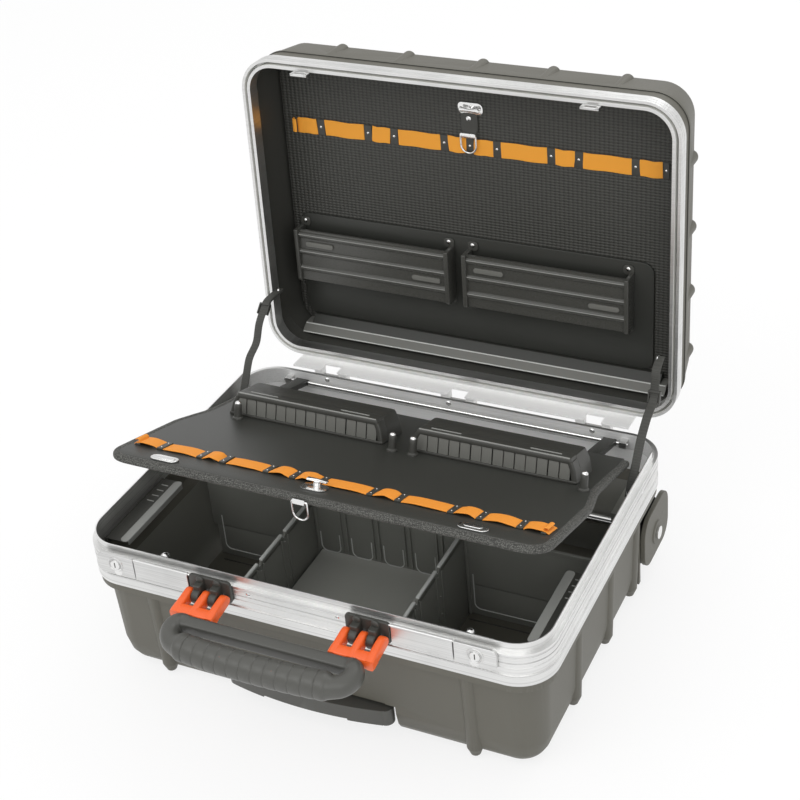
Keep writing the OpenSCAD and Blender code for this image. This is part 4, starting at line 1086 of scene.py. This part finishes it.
pockets = {"middles": (-122, 82), "wide": 188, "y": (38, 99), "deep": 18.6, "lean": 1.2, "wall": 2.6,
           "ridges": (44, 64, 84), "ridgeHalf": 3.6, "ridgeHigh": 2.6, "ears": (33.5, 100),
           "labels": ((-64, 54), (66, 74)), "label": (34, 5.6, 2.6)}


def pocket(x):
    # the outside in profile: a lip, round ridges that are half ellipses, and a turned-in foot
    p = pockets
    w, (y0, y1) = p["wide"] / 2, p["y"]
    y = np.linspace(y0, y1, 110)
    away = [np.clip(1 - ((y - c) / p["ridgeHalf"]) ** 2, 0, 1) for c in p["ridges"]]
    ridge = sum(v ** 0.5 for v in away) * p["ridgeHigh"]
    flat = p["deep"] + p["lean"] * (y - y0) / (y1 - y0)
    back = np.column_stack([y, flat - p["wall"]])[::-1]
    # a thin pale line along the crest of each ridge: a painted highlight
    for c in p["ridges"]:
        z = p["deep"] + 2.45 + p["lean"] * (c - 1 - y0) / (y1 - y0)
        yield sweep(np.array([[x - w + 5, c - 1, z], [x + w - 5, c - 1, z]]), oval(0.55, 0.45, 8)), 3
    foot = np.array([[100.5, 17.5], [100.5, 2.6], [97, 2.6]])
    outline = np.concatenate([np.column_stack([y, flat + ridge]), foot, back[back[:, 0] < 97.1]])
    yield rings([np.column_stack([np.full(len(outline), s), outline]) for s in (x - w + 4, x + w - 4)]), 0
    for s in (-1, 1):
        cap = lambda i: corners(64 - 2 * i, 20.6 - 2 * i, np.array([4, 1, 1, 5]) - i) + [69, 12.9]
        verts, faces = stack(cap, soft(0, 5, 1.0))
        yield (verts[:, [2, 0, 1]] + [x + s * (w - 2.5) - 2.5, 0, 0], faces), 0
        ear = x + s * (w - 6)
        for y in p["ears"]:  # ears with screws above and below each end
            yield slab(ear - 6, ear + 6, y - 5, y + 6, 2.65, 4.4, 0.5, 4), 0
            yield dome(2.7, 1.5, ear, y - 1 if y < 50 else y + 2.6, 4.2), 1
    long, high, r = p["label"]
    for dx, y in p["labels"]:  # bare label plates between the ridges
        yield stack(lambda i: roundRect(long - 2 * i, high - 2 * i, r - i, 5) + [x + dx, y],
                    soft(19.2, 20.9, 0.3, 0.05)), 2


pile = Pile()
for x in pockets["middles"]:
    for part, kind in pocket(x):
        pile.add(under(part), kind)
instead("lid_pockets", "lidPocketsMade", pile, [pocketPlastic, chrome, slatPlastic, railPaint], 40)

sill = {"panel": (-218, 197, 24, 150, 0, 2.6), "stripHalf": 208, "bevelHalf": 216,
        "lines": ((158.4, 15.6), (165.2, 24.0)), "lineHalf": 215,
        "strip": [(150.3, 0.1), (150.3, 6.0), (157.8, 14.6), (157.8, 0.1)],
        "bevel": [(157.8, 0.1), (157.8, 14.9), (158.8, 16.1), (163, 21.6), (165.9, 24.6), (165.9, 0.1)]}


def bar(profile, half):  # a profile in Y and Z carried straight across the lid
    return rings([np.column_stack([np.full(len(profile), s), profile]) for s in (-half, half)])


pile = Pile().add(under(slab(*sill["panel"], 0.7, 12)))
instead("lid_panel", "lidPanelMade", pile, boardSheet)
pile = Pile().add(under(bar(sill["strip"], sill["stripHalf"])), 1)
pile.add(under(bar(sill["bevel"], sill["bevelHalf"])))
# pale lines along the bevel's two edges: painted highlights
for y, z in sill["lines"]:
    line = np.array([[-sill["lineHalf"], y, z], [sill["lineHalf"], y, z]])
    pile.add(under(sweep(line, oval(0.7, 0.7, 12))), 2)
instead("lid_strip", "lidSill", pile, [slatPlastic, boardSheet, edgeHighlight])
print("lid fittings made")

# stay straps
stays = {"side": 225.8, "wide": 9, "thick": 1.5, "step": 2.0, "twist": 0.5,
         "buckleAt": {"left": 0.27, "right": 0.3},
         "studs": ((-1, (3.4, 1.7), (1.5, 4)), (0, (3.2, 1.6), (-4, 0))),
         "left": [(219, 224), (186, 226), (166, 208), (157, 188), (137, 180), (117, 150), (106, 130)],
         "right": [(197, 236), (178, 228), (174, 196), (155, 190), (130, 174), (100, 144), (92, 130)]}


def softPath(points):  # a path through the points with its bends rounded by a running mean
    p = np.array(points, float)
    far = distances(p)
    even = np.linspace(0, far[-1], int(far[-1] / stays["step"]))
    return np.column_stack([smooth(np.interp(even, far, p[:, k]), 11) for k in (0, 1)])


for word, side in (("left", -1), ("right", 1)):
    path = softPath(stays[word])
    x, wide, thick = side * stays["side"], stays["wide"] / 2, stays["thick"]
    line = np.column_stack([x + stays["twist"] * np.sin(np.linspace(0, 3 * pi, len(path))), path])
    pile = Pile().add(sweep(line, oval(thick / 2, wide, 20, 4.5), up=(1, 0, 0)))
    # a second layer doubles the webbing above the buckle, as where it is drawn through
    n = int(len(line) * stays["buckleAt"][word])
    normal = unit(np.gradient(path, axis=0)[:n + 3])
    over = line[:n + 3] + [side * -0.4, 0, 0]
    over[:, 1:] += np.column_stack([-normal[:, 1], normal[:, 0]]) * thick
    pile.add(sweep(over, oval(thick / 2.4, wide - 0.3, 18, 4.5), up=(1, 0, 0)))
    run = path[n + 1] - path[n]
    turn = Matrix.Rotation(np.arctan2(run[1], run[0]), 3, "X")
    for y in (-6, -1.2, 3.6):  # the buckle's cross bars, its sides and its keeper
        pile.add(turned(slab(-6.2, 6.2, y, y + 2.6, 1.4, 3.4, 0.7), turn, line[n]), 1)
    for s in (-1, 1):
        pile.add(turned(slab(s * 5.6 - 0.9, s * 5.6 + 0.9, -6.4, 6.6, -1.8, 3.2, 0.7), turn, line[n]), 1)
    pile.add(turned(slab(-5.6, 5.6, -6.2, -3.8, -2.6, -1.0, 0.6), turn, line[n]), 1)
    for k, size, shift in stays["studs"]:  # the studs that hold its two ends
        pile.add(turned(dome(*size), sideways[-side], line[k] + [-side * 0.8, *shift]), 2)
    piece = pile.done("stay_" + word, [webbing, blackPlastic, chrome], None)
    start, end = (Vector((x, *stays[word][k])) * mm for k in (-1, 0))
    tuple(start)
    tuple(end)
    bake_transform(piece)
    if word == "left":
        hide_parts("straps", "strap_buckles")
print("straps made")
